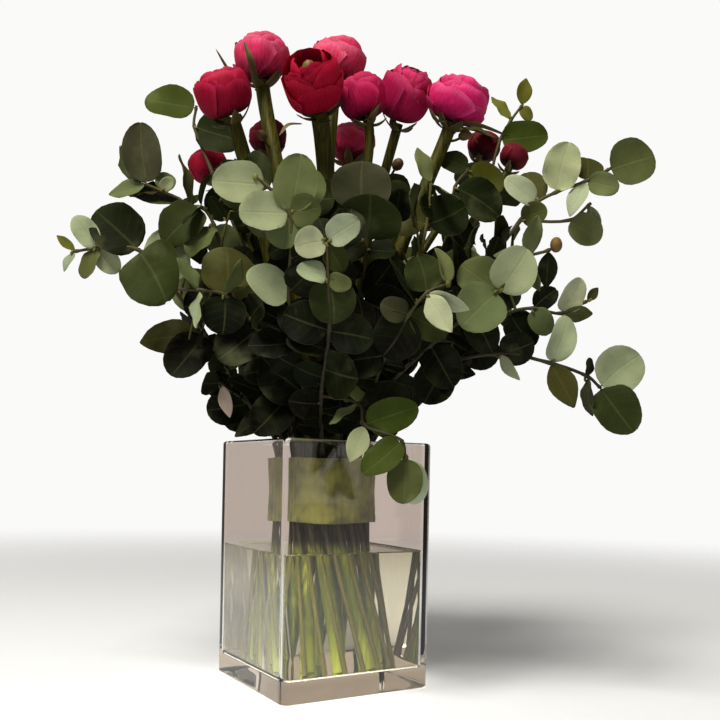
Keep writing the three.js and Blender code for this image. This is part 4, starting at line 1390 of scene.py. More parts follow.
@dataclass
class SprayPiece:
    """One eucalyptus spray, made over its node of the frame.

    Attributes:
        spray: What grows where.
        index: Its number, from 0.
        foot_radius: A twig's radius at its foot.
        branch_radius: A side twig's radius at its start.
        tip_radius: A twig's radius at its tip.
        end: How far a twig runs past its last knot.
        knot_swelling: How much thicker a twig is at its knots.
        steps: How many short runs each span between two knots gets.
        bark_tip: The bark's colour at a tip, and that of the stalks.
        axil: The colour of small buds.
    """

    spray: Spray
    index: int
    foot_radius: float = 1.5
    branch_radius: float = 1.0
    tip_radius: float = 0.75
    end: float = 1.2
    knot_swelling: float = 0.45
    steps: int = 5
    bark_foot: Colour = srgb(52, 44, 22)
    bark_tip: Colour = srgb(92, 88, 40)
    axil: Colour = srgb(112, 110, 44)
    bud: Colour = srgb(112, 84, 36)
    draft: Draft = field(default_factory=Draft)

    @property
    def node(self) -> str:
        """The node that the spray stands for."""
        return f"eucalyptus_spray_{self.index + 1:02d}"

    def frame_points(self) -> np.ndarray:
        """Return the node's own points, in millimetres in the bouquet's frame."""
        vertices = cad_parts[self.node].data.vertices
        points = np.empty(len(vertices) * 3)
        vertices.foreach_get("co", points)
        return points.reshape(-1, 3) @ np.linalg.inv(TO_PART).T

    def knots(self, twig: Twig) -> list[np.ndarray]:
        """Return a twig's points from its foot or its parent to its end."""
        if twig.start is None:
            lower = strand_foot(TWIG_RING, self.spray.azimuth)
        else:
            parent, knot = twig.start
            lower = [vector(self.spray.twigs[parent].route[knot])]
        points = [*lower, *map(vector, twig.route)]
        return [*points, points[-1] + unit(points[-1] - points[-2]) * self.end]

    def build_twig(self, draft: Draft, twig: Twig) -> None:
        """Add a twig, a little thicker at its knots, and its buds.

        Args:
            draft: What it is added to.
            twig: The twig.
        """
        path = smooth_route(self.knots(twig), self.steps)
        first = self.foot_radius if twig.start is None else self.branch_radius
        radii = np.linspace(first, self.tip_radius, len(path))
        at_knot = np.arange(len(path)) % self.steps == 0
        radii += self.knot_swelling * at_knot * np.linspace(0.6, 1, len(path))
        share = 0.3 if twig.start is None else 0.7
        mixed = [lerp(a, b, share) for a, b in zip(self.bark_foot, self.bark_tip)]
        draft.tube(path, radii, 8, slot=1, colour=tuple(mixed))
        for knot, radius in twig.buds:
            colour = self.bud if radius > 3 else self.axil
            draft.ball(vector(twig.route[knot]), UP, (radius, radius * 1.25), 1, colour)

    def found(
        self, leaf: Leaf, at: np.ndarray, facing: np.ndarray, points: np.ndarray
    ) -> Leaf | None:
        """Find the bend whose corners lie in the frame.

        Args:
            leaf: The leaf before it is bent.
            at: Its knot.
            facing: The way that the spray faces.
            points: The node's own points.

        Returns:
            The bent leaf, or None where the frame has no such leaf.
        """
        best, most = None, 1
        for bend in BENDS:
            bent = leaf.bent(bend)
            corners = at + bent.corners(leaf.length < SMALL_LEAF_LENGTH) @ bent.axes(facing).T
            gaps = np.linalg.norm(points[None] - corners[:, None], axis=2).min(axis=1)
            matches = int((gaps < CORNER_MATCH).sum())
            if matches > most:
                best, most = bent, matches
        return best

    def build_leaf(
        self, leaf: Leaf, at: np.ndarray, facing: np.ndarray, rng: random.Random,
        size: tuple[int, int] = (LEAF_ROWS, LEAF_COLUMNS), depth: float = 1.0,
    ) -> Draft:
        """Make a leaf with its stalk, and now and then a young bud in its axil.

        Args:
            leaf: The leaf.
            at: The point that it grows from.
            facing: The way that its face looks.
            rng: The draws that vary it.
            size: How many rows and columns its blade has.
            depth: How much of its own colour it keeps under painted shade.

        Returns:
            The leaf, its blade first.
        """
        draft = Draft()
        axes = leaf.axes(facing)
        # A random tone, times the painted shade that depth gives.
        shade = rng.uniform(0.8, 1.16) * depth
        warmth = rng.uniform(-0.06, 0.06)
        red, green, blue, _ = srgb(*leaf.tone.value)
        colour = (red * shade * (1 + warmth), green * shade, blue * shade * (1 - warmth), 1.0)
        grid = leaf.grid(rng, *size)
        draft.sheet(at + grid @ axes.T, LEAF_THICKNESS, 0, colour)
        base = grid[1, size[1] // 2]
        stalk = [at, at + axes @ (base * (0.4, 0.5, 0.2)), at + axes @ base]
        draft.tube(np.array(stalk), np.array((0.6, 0.45, 0.35)), 6, 1, self.bark_tip)
        if rng.random() < 0.3:
            draft.ball(at + axes @ vector((0.9, 1.6, 1.0)), axes[:, 1], (0.8, 1.5), 1, self.axil)
        return draft

    def grow(self, crowd: Crowd) -> None:
        """Make the twigs and leaves that the frame has.

        Args:
            crowd: What stands already, to which they are added.
        """
        points = self.frame_points()
        facing = on_circle(1, math.radians(self.spray.facing), 0)
        left_out = 0
        for row, twig in enumerate(self.spray.twigs):
            own = Draft()
            self.build_twig(own, twig)
            crowd.add(own, f"{self.node} {row}")
            self.draft.absorb(own)
            for number, leaf in enumerate(twig.leaves):
                rng = random.Random(self.index * 1000 + row * 100 + number)
                at = vector(twig.route[leaf.knot])
                bent = self.found(leaf, at, facing, points)
                if bent is None:
                    left_out += 1
                    continue
                # Painted shade on front leaves of the darker tones, deep and low in the bouquet.
                depth = self.depth_shade(at) if leaf.tone in PAINTED_SHADE_TONES else 1.0
                blade = self.build_leaf(bent, at, facing, rng, depth=depth)
                crowd.add(blade)
                self.draft.absorb(blade)
                if leaf.tone in SHOWN_TONES:
                    middle = at + bent.axes(facing)[:, 1] * bent.length / 2
                    crowd.shown.append((middle, facing, bent.width * SHOWN_REACH))
        if left_out:
            log.info("%s: %d leaves have no room", self.node, left_out)

    def thicken(self, crowd: Crowd) -> None:
        """Fill the dense middle of the bouquet with side twigs and leaves by rule.

        Args:
            crowd: What stands already, to which they are added.
        """
        rng = random.Random(FILL_SEED + self.index)
        added = 0
        for row, twig in enumerate(self.spray.twigs):
            path = smooth_route(self.knots(twig), FILL_STEPS)
            owner = f"{self.node} {row}"
            for place in range(1, len(path) - 1):
                at, run = path[place], unit(path[place + 1] - path[place - 1])
                if not FILL_LEVELS[0] < at[2] < FILL_LEVELS[1]:
                    continue
                added += self.fill_knot(crowd, at, run, owner, rng)
                if place % 2:
                    added += self.side_twig(crowd, at, run, owner, rng)
        log.info("%s: %d leaves fill its middle", self.node, added)

    def side_twig(
        self, crowd: Crowd, at: np.ndarray, run: np.ndarray, owner: str, rng: random.Random
    ) -> int:
        """Grow a short side twig with pairs of leaves, where one has room.

        Args:
            crowd: What stands already.
            at: Where it starts.
            run: The way that its parent runs.
            owner: The parent twig.
            rng: The draws that set it out.

        Returns:
            How many leaves it has.
        """
        facing = self.outward(at)
        right = np.cross(UP, facing)
        for _ in range(FILL_TRIES):
            aside = rng.choice((-1, 1)) * rng.uniform(*FILL_CLOCK)
            clock = math.radians(self.clock_of(run, facing) + aside)
            tilt = math.radians(rng.uniform(*FILL_TILT))
            way = (UP * math.cos(clock) + right * math.sin(clock)) * math.cos(tilt)
            way = way + facing * math.sin(tilt)
            length = rng.uniform(*FILL_TWIG)
            shares = np.linspace(0, 1, FILL_POINTS)[:, None]
            sag = np.sin(math.pi * shares / 2) * length * rng.uniform(-FILL_SAG, FILL_SAG)
            path = at + way * length * shares + facing * sag
            twig = Draft()
            twig.tube(path, np.linspace(*FILL_RADII, FILL_POINTS), 6, 1, self.bark_tip)
            name = f"{owner} side {len(crowd.placed)}"
            if not self.in_middle(path[-1]) or not crowd.takes(twig, owner, name):
                continue
            self.draft.absorb(twig)
            return sum(
                self.fill_knot(crowd, path[knot], way, name, rng, knot == FILL_KNOTS[-1])
                for knot in FILL_KNOTS
            )
        return 0

    def fill_knot(
        self, crowd: Crowd, at: np.ndarray, run: np.ndarray, owner: str, rng: random.Random,
        is_tip: bool = False,
    ) -> int:
        """Grow a pair of leaves, and one more at a tip, where they have room.

        Args:
            crowd: What stands already.
            at: The knot that they grow from.
            run: The way that its twig runs.
            owner: The twig.
            rng: The draws that set them out.
            is_tip: Whether this is the twig's last knot.

        Returns:
            How many leaves had room.
        """
        facing = self.outward(at)
        middle = self.clock_of(run, facing)
        count = 0
        low = at[2] < FILL_LOW
        for side in (-1, 1, 0) if is_tip or low else (-1, 1):
            for attempt in range(FILL_TRIES * (2 if low else 1)):
                length = rng.uniform(*FILL_LEAF) * (1 - 0.05 * attempt)
                width = length * rng.uniform(0.72, 1.0)
                clock = middle + side * rng.uniform(50, 105) + rng.uniform(-12, 12)
                lean = rng.uniform(-25, 50 if low else 40)
                turn = rng.uniform(-35, 35)
                leaf = Leaf(0, length, width, clock, lean, turn, rng.choice(FILL_TONES))
                # Painted shade: the fill leaf is darker deep in the middle and low down.
                blade = self.build_leaf(leaf, at, facing, rng, FILL_GRID, self.depth_shade(at))
                way = leaf.axes(facing)[:, 1] * length
                lowest = min(point[2] for point in blade.points)
                if lowest < FILL_FLOOR or not self.in_middle(at + way):
                    continue
                hides = crowd.hides(at + way / 2, length * HIDING_REACH)
                if not hides and crowd.takes(blade, owner):
                    self.draft.absorb(blade)
                    count += 1
                    break
        return count

    @staticmethod
    def depth_shade(at: np.ndarray) -> float:
        """Return a leaf's share of its colour under painted shade, less the deeper in it grows."""
        away = math.hypot(at[0] - FILL_CENTRE, at[1])
        across = min(1.0, away / np.interp(at[2], *zip(*FILL_REACH))) ** 1.3
        return lerp(*FILL_SHADE, across) * np.interp(at[2], *zip(*FILL_SHADE_LEVELS))

    @staticmethod
    def outward(at: np.ndarray) -> np.ndarray:
        """Return the level way out from the bouquet's axis at a point."""
        return unit(vector((at[0], at[1], 0)))

    @staticmethod
    def clock_of(run: np.ndarray, facing: np.ndarray) -> float:
        """Return a way's clock in degrees, seen against the way that is faced."""
        return math.degrees(math.atan2(run @ np.cross(UP, facing), run @ UP))

    @staticmethod
    def in_middle(point: np.ndarray) -> bool:
        """Say whether a point lies in the bouquet's dense middle."""
        levels, reaches = zip(*FILL_REACH)
        away = math.hypot(point[0] - FILL_CENTRE, point[1])
        return levels[0] < point[2] < levels[-1] and away < np.interp(point[2], levels, reaches)

    def build(self, finishes: Finishes) -> None:
        """Make the spray and put it in its node's place."""
        piece = self.draft.build(f"{self.node}_fine", (finishes.leaf, finishes.bark))
        settle(piece, self.node)


# ---------- Ranunculus ----------

STEM_RISE = 0.35
STEM_NOD = 0.12
STEM_TOP = 3.0
SPIN = math.radians(37)
SEPALS = 5
SEPAL_LENGTH = 11.0
SEPAL_RISE = (1.05, 0.2)
SEPAL_STEP = 1.5
SEPAL_SINK = 4.5
FULL_RADIUS = 17.0
BUD_STALK = 9.0


@dataclass(frozen=True)
class PetalLayer:
    """One layer of a bloom's petals.

    Attributes:
        count: How many petals it has.
        girth: Its share of the bloom's radius.
        height: Its share of the bloom's height.
        close: How much further over the top its lips reach, in degrees.
        half: Half the angle that a petal covers, in degrees.
        turn: Where its first petal stands, in degrees.
    """

    count: int
    girth: float
    height: float
    close: float
    half: float
    turn: float


LAYERS = (
    PetalLayer(4, 1.0, 1.0, -36, 60, 0),
    PetalLayer(4, 0.96, 0.99, -22, 60, 44),
    PetalLayer(4, 0.90, 0.985, -11, 58, 16),
    PetalLayer(5, 0.81, 0.97, -3, 50, 50),
    PetalLayer(4, 0.69, 0.95, 3, 58, 8),
    PetalLayer(4, 0.55, 0.93, 6, 60, 40),
    PetalLayer(4, 0.40, 0.90, 5, 60, 0),
    PetalLayer(3, 0.27, 0.88, 2, 76, 60),
    PetalLayer(3, 0.15, 0.86, 0, 80, 20),
)

# A petal: the angles from straight down at its root and by which its shoulders fall short of its
# lip, how far one side tucks in, and the powers that make the bloom full and its top flat.
PETAL_ROOT = 10.0
PETAL_SHOULDER = 24.0
PETAL_THICKNESS = 0.5
PETAL_TUCK = 0.05
PETAL_ROWS = 15
PETAL_COLUMNS = 15
PETAL_FULLNESS = 0.66
PETAL_FLATNESS = 0.86

# What varies from petal to petal: in degrees its lip's reach, tilt and notch and its slant, and
# as shares of the bloom's radius its folds, crinkled lip, curl and ridge.
PETAL_LIP = (-16, 12)
PETAL_TILT = 7
PETAL_NOTCH = (0, 9)
PETAL_SLANT = (8, 34)
PETAL_FOLDS = (0.006, 0.016)
PETAL_CRINKLE = (0.012, 0.03)
PETAL_CURL = (-0.01, 0.06)
PETAL_RIDGE = (-0.02, 0.03)
PETAL_STEP = (-0.012, 0.018)
BLOOM_LOBES = 0.035


@dataclass(frozen=True)
class Flower:
    """A ranunculus: where its stem stands, and its bloom.

    Attributes:
        ring: The ring that its stem stands on at the neck.
        azimuth: The stem's place on that ring, in degrees.
        stem: The stem's radius.
        at: The middle of the bloom.
        radius: The bloom's radius.
        height: The bloom's height.
        clock: The way it leans, in degrees from upright towards the right.
        lean: How far it leans towards the front, in degrees.
        close: How far its petals close over it, in degrees from straight down.
        hue: Its colour.
        layers: How many layers of petals it has.
        heart: The share of its height at which the middle of its heart lies.
    """

    ring: float
    azimuth: float
    stem: float
    at: Point
    radius: float
    height: float
    clock: float
    lean: float
    close: float
    hue: Hue
    layers: int = len(LAYERS)
    heart: float = 0.4


FLOWERS = (
    Flower(STEM_RING, 210, 4.5, (-65, -22, 361), 17, 29, -20, 22, 152, Hue.CRIMSON),
    Flower(STEM_RING, 250, 4.5, (-47, 10, 399), 17.5, 30, -6, 5, 140, Hue.PINK),
    Flower(STEM_RING, 290, 5.3, (-10, -36, 363), 17.5, 36, -16, 48, 140, Hue.RED, 5, 0.5),
    Flower(CORE_RING, 150, 4, (3, 16, 400), 17, 30, 5, 0, 145, Hue.PINK),
    Flower(CORE_RING, 270, 2.9, (20, -14, 364), 14, 28, -14, 6, 155, Hue.MAGENTA),
    Flower(CORE_RING, 30, 3.1, (48, 6, 375), 16, 36, 16, 28, 152, Hue.PLUM),
    Flower(STEM_RING, 330, 4, (80, -14, 364), 19, 30, 18, 14, 132, Hue.ROSE),
    Flower(STEM_RING, 10, 2.5, (121, 24, 343), 9, 15, 22, 0, 158, Hue.DARK_RED, 4),
    Flower(STEM_RING, 170, 3, (-85, 38, 338), 12.5, 21, -32, 0, 155, Hue.CRIMSON, 6),
    Flower(STEM_RING, 90, 3.5, (13, 52, 361), 15, 26, 4, -10, 140, Hue.PINK),
    Flower(STEM_RING, 130, 3, (-45, 48, 362), 12.5, 21, -12, -10, 155, Hue.DARK_RED, 6),
    Flower(STEM_RING, 50, 2.5, (104, 43, 357), 11, 18, 20, -6, 158, Hue.DARK_RED, 5),
)


# Narrow bracts and closed buds on some of the stems: a bract's root, middle and tip with its
# width, and a bud's middle with its radius.
BRACTS = {
    1: (
        ((-48, 5, 377), (-50, -11, 386), (-54, -13, 397), 4.4),
        ((-50, 8, 378), (-63, 0, 382), (-73, -5, 396), 4.0),
    ),
    2: (((-16, -27, 341), (-24, -32, 338), (-29, -34, 331), 4.0),),
    4: (((22, -16, 348), (27, -24, 348), (31, -28, 354), 3.6),),
    6: (
        ((76, -14, 350), (92, -22, 344), (110, -24, 337), 5.0),
        ((72, -16, 349), (65, -26, 345), (60, -30, 351), 4.0),
        ((78, -14, 348), (86, -20, 341), (91, -22, 333), 4.0),
    ),
}
STEM_BUDS = {
    1: (((-43, -3, 343), 3.0), ((-50, -6, 316), 3.4)),
    5: (((43, -4, 326), 3.6),),
    6: (((84, -12, 342), 3.2),),
}


@dataclass
class RanunculusPiece:
    """One ranunculus, its stem with the sepals and its bloom, made over its two nodes.

    Attributes:
        flower: The flower.
        index: Its number, from 0.
        rib: How far the stem's ribs stand out, as a share of its radius.
    """

    flower: Flower
    index: int
    stem_sides: int = 16
    stem_ribs: int = 4
    rib: float = 0.045
    sepal_width: float = 6.8
    sepal_thickness: float = 0.6

    @property
    def axis(self) -> np.ndarray:
        """The way the bloom points."""
        return pointing(self.flower.clock, self.flower.lean)

    @property
    def base(self) -> np.ndarray:
        """The middle of the bloom's underside."""
        return vector(self.flower.at) - self.axis * self.flower.height / 2

    @property
    def axes(self) -> np.ndarray:
        """The bloom's own axes as columns, the last one its axis."""
        hinge = unit(np.cross(UP, self.axis))
        return np.array(Matrix.Rotation(math.acos(float(UP @ self.axis)), 3, hinge.tolist()))

    def stem_path(self) -> np.ndarray:
        """Return the stem's centre line, from its foot in the vase to the bloom."""
        flower = self.flower
        end = self.base - self.axis * FIT
        lower = strand_foot(flower.ring, flower.azimuth)
        start = lower[2]
        span = np.linalg.norm(start - end)
        top = end - self.axis * STEM_TOP
        controls = (start, start + UP * STEM_RISE * span, top - self.axis * STEM_NOD * span, top)
        t = np.linspace(0, 1, 26)[1:, None]
        weights = ((1 - t) ** 3, 3 * t * (1 - t) ** 2, 3 * t**2 * (1 - t), t**3)
        upper = sum(weight * control for weight, control in zip(weights, controls))
        foot = smooth_route(lower, 8)
        return np.concatenate((foot, upper, end[None]))

    def build_stem(self, finishes: Finishes, crowd: Crowd) -> None:
        """Make the stem with its sepals and put it in its node's place.

        Args:
            finishes: The materials.
            crowd: What stands already, to which it is added.
        """
        draft = Draft()
        path = self.stem_path()
        angles = np.linspace(0, 2 * math.pi, self.stem_sides, endpoint=False)[None, :]
        drift = np.linspace(0, 1.5, len(path))[:, None]
        ribs = 1 + self.rib * np.cos(self.stem_ribs * angles + drift)
        rng = random.Random(100 + self.index)
        shade = rng.uniform(0.8, 1.0)
        tint = (shade, shade * rng.uniform(0.94, 1.04), shade * 0.85, 1.0)
        draft.tube(path, self.flower.stem * ribs, self.stem_sides, 0, tint)
        for number in range(SEPALS):
            self.build_sepal(draft, number, rng)
        for root, middle, tip, width in BRACTS.get(self.index, ()):
            self.build_bract(draft, smooth_route(tuple(map(vector, (root, middle, tip))), 5), width)
        for at, radius in STEM_BUDS.get(self.index, ()):
            centre = vector(at)
            near = path[np.linalg.norm(path - centre + UP * BUD_STALK, axis=1).argmin()]
            stalk = smooth_route((near, lerp(near, centre, 0.5) + UP * -1.5, centre), 4)
            draft.tube(stalk, np.full(len(stalk), 0.8), 6, 0, tint)
            draft.ball(centre, centre - near, (radius, radius * 1.3), 1, (1.1, 0.8, 0.7, 1.0))
        node = f"ranunculus_stem_{self.index + 1:02d}"
        crowd.add(draft)
        settle(draft.build(f"{node}_fine", (finishes.stem, finishes.sepal)), node)

    def build_sepal(self, draft: Draft, number: int, rng: random.Random) -> None:
        """Add one sepal, which cups the bloom from below.

        Args:
            draft: What it is added to.
            number: Its number, from 0.
            rng: The draws that vary it.
        """
        size = min(1.0, self.flower.radius / FULL_RADIUS)
        reach = SEPAL_LENGTH * size
        step = 2 * number
        angle = self.index * SPIN + step * math.pi / SEPALS
        rise = lerp(*SEPAL_RISE, (step * SEPAL_STEP) % SEPALS / SEPALS)
        tip = on_circle(self.flower.stem + reach, angle, reach * rise)
        root = on_circle(self.flower.stem * 0.7, angle, 0.4)
        along = np.linspace(0, 1, 9)[:, None]
        across = np.linspace(-1, 1, 7)[None, :]
        swell = np.clip(np.sin(math.pi * (0.16 + 0.82 * along) ** 0.9), 0.03, 1) ** 0.8
        half = self.sepal_width * size / 2 * swell
        line = root + along[..., None] * (tip - root) - UP * (
            1.8 * size * np.sin(math.pi * along)[..., None]
        )
        side = vector((-math.sin(angle), math.cos(angle), 0))
        cup = 0.22 * half * across**2 + rng.uniform(-0.3, 0.3) * along**2 * across
        grid = line + (half * across)[..., None] * side + cup[..., None] * UP
        origin = self.base - self.axis * (FIT + SEPAL_SINK)
        shade = rng.uniform(0.75, 1.05)
        tint = (shade, shade, shade, 1.0)
        draft.sheet(origin + grid @ self.axes.T, self.sepal_thickness, 1, tint)

    def build_bract(self, draft: Draft, line: np.ndarray, width: float) -> None:
        """Add a narrow bract, its hollow side towards the bloom.

        Args:
            draft: What it is added to.
            line: Its midrib's points.
            width: Its width.
        """
        along = np.linspace(0, 1, len(line))[:, None]
        across = np.linspace(-1, 1, 5)[None, :]
        half = width / 2 * np.sin(math.pi * (0.12 + 0.86 * along)) ** 0.7
        side = unit(np.cross(line[-1] - line[0], line.mean(axis=0) - vector(self.flower.at)))
        inward = unit(vector(self.flower.at) - line.mean(axis=0))
        grid = line[:, None] + (half * across)[..., None] * side
        grid = grid + (0.25 * half * across**2)[..., None] * inward
        draft.sheet(grid, self.sepal_thickness, 1, (0.95, 1.0, 0.8, 1.0))

    def petal(self, layer: PetalLayer, turn: float, rng: random.Random) -> np.ndarray:
        """Return a petal's points round the bloom's own axis.

        Args:
            layer: The layer that it belongs to.
            turn: Where it stands, in degrees.
            rng: The draws that vary it.

        Returns:
            Its points, rows from root to lip by columns across.
        """
        flower = self.flower
        up = np.linspace(0, 1, PETAL_ROWS)[:, None]
        across = np.linspace(-1, 1, PETAL_COLUMNS)[None, :]
        lip = flower.close + layer.close + rng.uniform(*PETAL_LIP)
        lip = lip - PETAL_SHOULDER * np.abs(across) ** rng.uniform(2.0, 3.4)
        lip = lip + rng.uniform(-PETAL_TILT, PETAL_TILT) * across
        notch = rng.uniform(*PETAL_NOTCH)
        lip = lip - notch * np.exp(-((across - rng.uniform(-0.5, 0.5)) ** 2) * 30)
        polar = np.radians(PETAL_ROOT + (lip - PETAL_ROOT) * up)
        spread = layer.half * (0.5 + 0.5 * np.sin(np.minimum(up * 1.6, 1) * math.pi / 2))
        slant = rng.uniform(*PETAL_SLANT) * up**1.4
        azimuth = np.radians(turn + across * spread + slant)
        size = 1 - 0.08 * (1 - up) ** 2
        folds = rng.uniform(*PETAL_FOLDS)
        folds = folds * np.sin(across * rng.uniform(5, 9) + rng.uniform(0, 6))
        crinkle = rng.uniform(*PETAL_CRINKLE)
        crinkle = crinkle * np.sin(across * rng.uniform(9, 14) + rng.uniform(0, 6))
        curl = rng.uniform(*PETAL_CURL) * up**8
        ridge = rng.uniform(*PETAL_RIDGE)
        ridge = ridge * np.exp(-((across - rng.uniform(-0.4, 0.4)) ** 2) * 14)
        girth = layer.girth * size * np.sin(polar) ** PETAL_FULLNESS * (1 + PETAL_TUCK * across)
        girth = girth + folds * up + crinkle * up**5 + curl + ridge * np.sin(math.pi * up)
        girth = girth * (1 + BLOOM_LOBES * np.sin(3 * azimuth + self.index) * np.sin(polar))
        girth = np.maximum(flower.radius * (girth + rng.uniform(*PETAL_STEP)), 0.05)
        level = np.sign(np.cos(polar)) * np.abs(np.cos(polar)) ** PETAL_FLATNESS
        rise = flower.height / 2 * (1 - layer.height * size * level)
        return np.stack(
            np.broadcast_arrays(girth * np.cos(azimuth), girth * np.sin(azimuth), rise), axis=-1
        )

    def build_bloom(self, finishes: Finishes, crowd: Crowd) -> None:
        """Make the bloom and put it in its node's place.

        Args:
            finishes: The materials.
            crowd: What stands already, to which it is added.
        """
        flower = self.flower
        draft = Draft()
        rng = random.Random(500 + self.index)
        spin = math.degrees(self.index * SPIN)
        for layer in LAYERS[: flower.layers]:
            for number in range(layer.count):
                turn = spin + layer.turn + number * 360 / layer.count + rng.uniform(-6, 6)
                grid = self.petal(layer, turn, rng)
                shade = rng.uniform(0.78, 1.12)
                tint = (shade, shade * rng.uniform(0.85, 1.1), shade, 1.0)
                draft.sheet(self.base + grid @ self.axes.T, PETAL_THICKNESS, 0, tint)
        heart = self.base + self.axis * flower.height * flower.heart
        size = (flower.radius * 0.36, flower.height * 0.34)
        draft.ball(heart, self.axis, size, 1, (2.6, 2.1, 0.6, 1.0))
        node = f"ranunculus_bloom_{self.index + 1:02d}"
        crowd.add(draft)
        piece = draft.build(f"{node}_fine", (finishes.petals[flower.hue], finishes.sepal))
        settle(piece, node)


# ---------- The vase and what it holds ----------

INNER_CORNER = 4.0
COVE = 3.0
LEAST_CORNER = 1.0

# How far beside a rounded edge a flat face gets a line of points, which keeps it flat.
FLAT_EDGE = 1.5


def rounded_square(half: float, corner: float, height: float, steps: int = 8) -> np.ndarray:
    """Return a level ring of points on a square with round corners.

    Args:
        half: Half the square's side.
        corner: The radius of its corners.
        height: Its height.
        steps: How many runs each corner has.

    Returns:
        The ring, counter-clockwise, with points close beside each corner to keep the sides flat.
    """
    points = []
    for quarter in range(4):
        start = quarter * math.pi / 2
        centre = (half - corner) * vector((math.sqrt(2), 0, 0))
        centre = turned(centre, UP, start + math.pi / 4)
        before = turned(vector((0, -FLAT_EDGE, 0)), UP, start)
        after = turned(vector((-FLAT_EDGE, 0, 0)), UP, start)
        angles = [start + i / steps * math.pi / 2 for i in range(steps + 1)]
        arc = [centre + on_circle(corner, angle, 0) for angle in angles]
        points += [arc[0] + before, *arc, arc[-1] + after]
    ring = np.array(points)
    ring[:, 2] = height
    return ring


def cove(half: float, corner: float, floor: float, angles: np.ndarray) -> list[np.ndarray]:
    """Return the rings of the rounded edge at a hollow's floor.

    Args:
        half: Half the hollow's side.
        corner: The radius of its upright corners.
        floor: The height of its floor.
        angles: How far round the edge each ring lies, from 0 at the wall.

    Returns:
        One ring for each angle.
    """
    rings = []
    for angle in angles:
        inset = COVE * (1 - math.cos(angle))
        height = floor + COVE * (1 - math.sin(angle))
        rings.append(rounded_square(half - inset, max(LEAST_CORNER, corner - inset), height))
    return rings


@dataclass
class VasePiece:
    """The square glass vase, with a thick base and softly rounded edges.

    Attributes:
        edge: The radius of its lower outer edge.
        steps: How many runs each rounded edge has.
    """

    edge: float = 1.6
    steps: int = 5

    def rings(self) -> list[np.ndarray]:
        """Return the rings of its skin, up the outside, over the rim and down the inside."""
        half = VASE_SIDE / 2
        inner = half - VASE_WALL
        rim = VASE_WALL / 2
        quarter = np.linspace(0, math.pi / 2, self.steps + 1)
        rings = []
        for angle in quarter:
            inset = self.edge * (1 - math.sin(angle))
            height = self.edge * (1 - math.cos(angle))
            rings.append(rounded_square(half - inset, VASE_CORNER - inset, height))
        for height in (self.edge + FLAT_EDGE, VASE_HEIGHT - rim - FLAT_EDGE):
            rings.append(rounded_square(half, VASE_CORNER, height))
        for angle in np.linspace(0, math.pi, 2 * self.steps + 1):
            inset = rim * (1 - math.cos(angle))
            corner = lerp(VASE_CORNER, INNER_CORNER, inset / VASE_WALL)
            height = VASE_HEIGHT - rim * (1 - math.sin(angle))
            rings.append(rounded_square(half - inset, corner, height))
        for height in (VASE_HEIGHT - rim - FLAT_EDGE, VASE_BASE + COVE + FLAT_EDGE):
            rings.append(rounded_square(inner, INNER_CORNER, height))
        return rings + cove(inner, INNER_CORNER, VASE_BASE, quarter)

    def build(self) -> None:
        """Make the vase and put it in its node's place."""
        draft = Draft()
        draft.loops(self.rings())
        piece = draft.build("vase_fine", (GlassFinish().material(),), turn=False, crease=40)
        piece.visible_shadow = False
        settle(piece, "vase")


@dataclass
class WaterPiece:
    """The water, one clear body with a small meniscus where it meets the glass.

    Attributes:
        gap: How far it stays off the glass.
        rise: How high the meniscus climbs.
        reach: How far in from the glass it reaches.
    """

    gap: float = 0.12
    rise: float = 1.2
    reach: float = 3.6

    def rings(self) -> list[np.ndarray]:
        """Return the rings of its skin, from its underside up and in over its surface."""
        half = VASE_SIDE / 2 - VASE_WALL - self.gap
        corner = INNER_CORNER - self.gap
        floor = VASE_BASE + self.gap
        rings = cove(half, corner, floor, np.linspace(math.pi / 2, 0, 6))
        for height in (floor + COVE + FLAT_EDGE, WATER_LEVEL - 1.0, WATER_LEVEL + self.rise):
            rings.append(rounded_square(half, corner, height))
        for share in np.linspace(0.15, 1, 6):
            inset = self.reach * share
            height = WATER_LEVEL + self.rise * (1 - share) ** 2.5
            rings.append(rounded_square(half - inset, max(LEAST_CORNER, corner - inset), height))
        return rings

    def build(self) -> None:
        """Make the water and put it in its node's place."""
        draft = Draft()
        draft.loops(self.rings())
        piece = draft.build("water_fine", (WaterFinish().material(),), turn=False, crease=50)
        piece.visible_shadow = False
        settle(piece, "water")


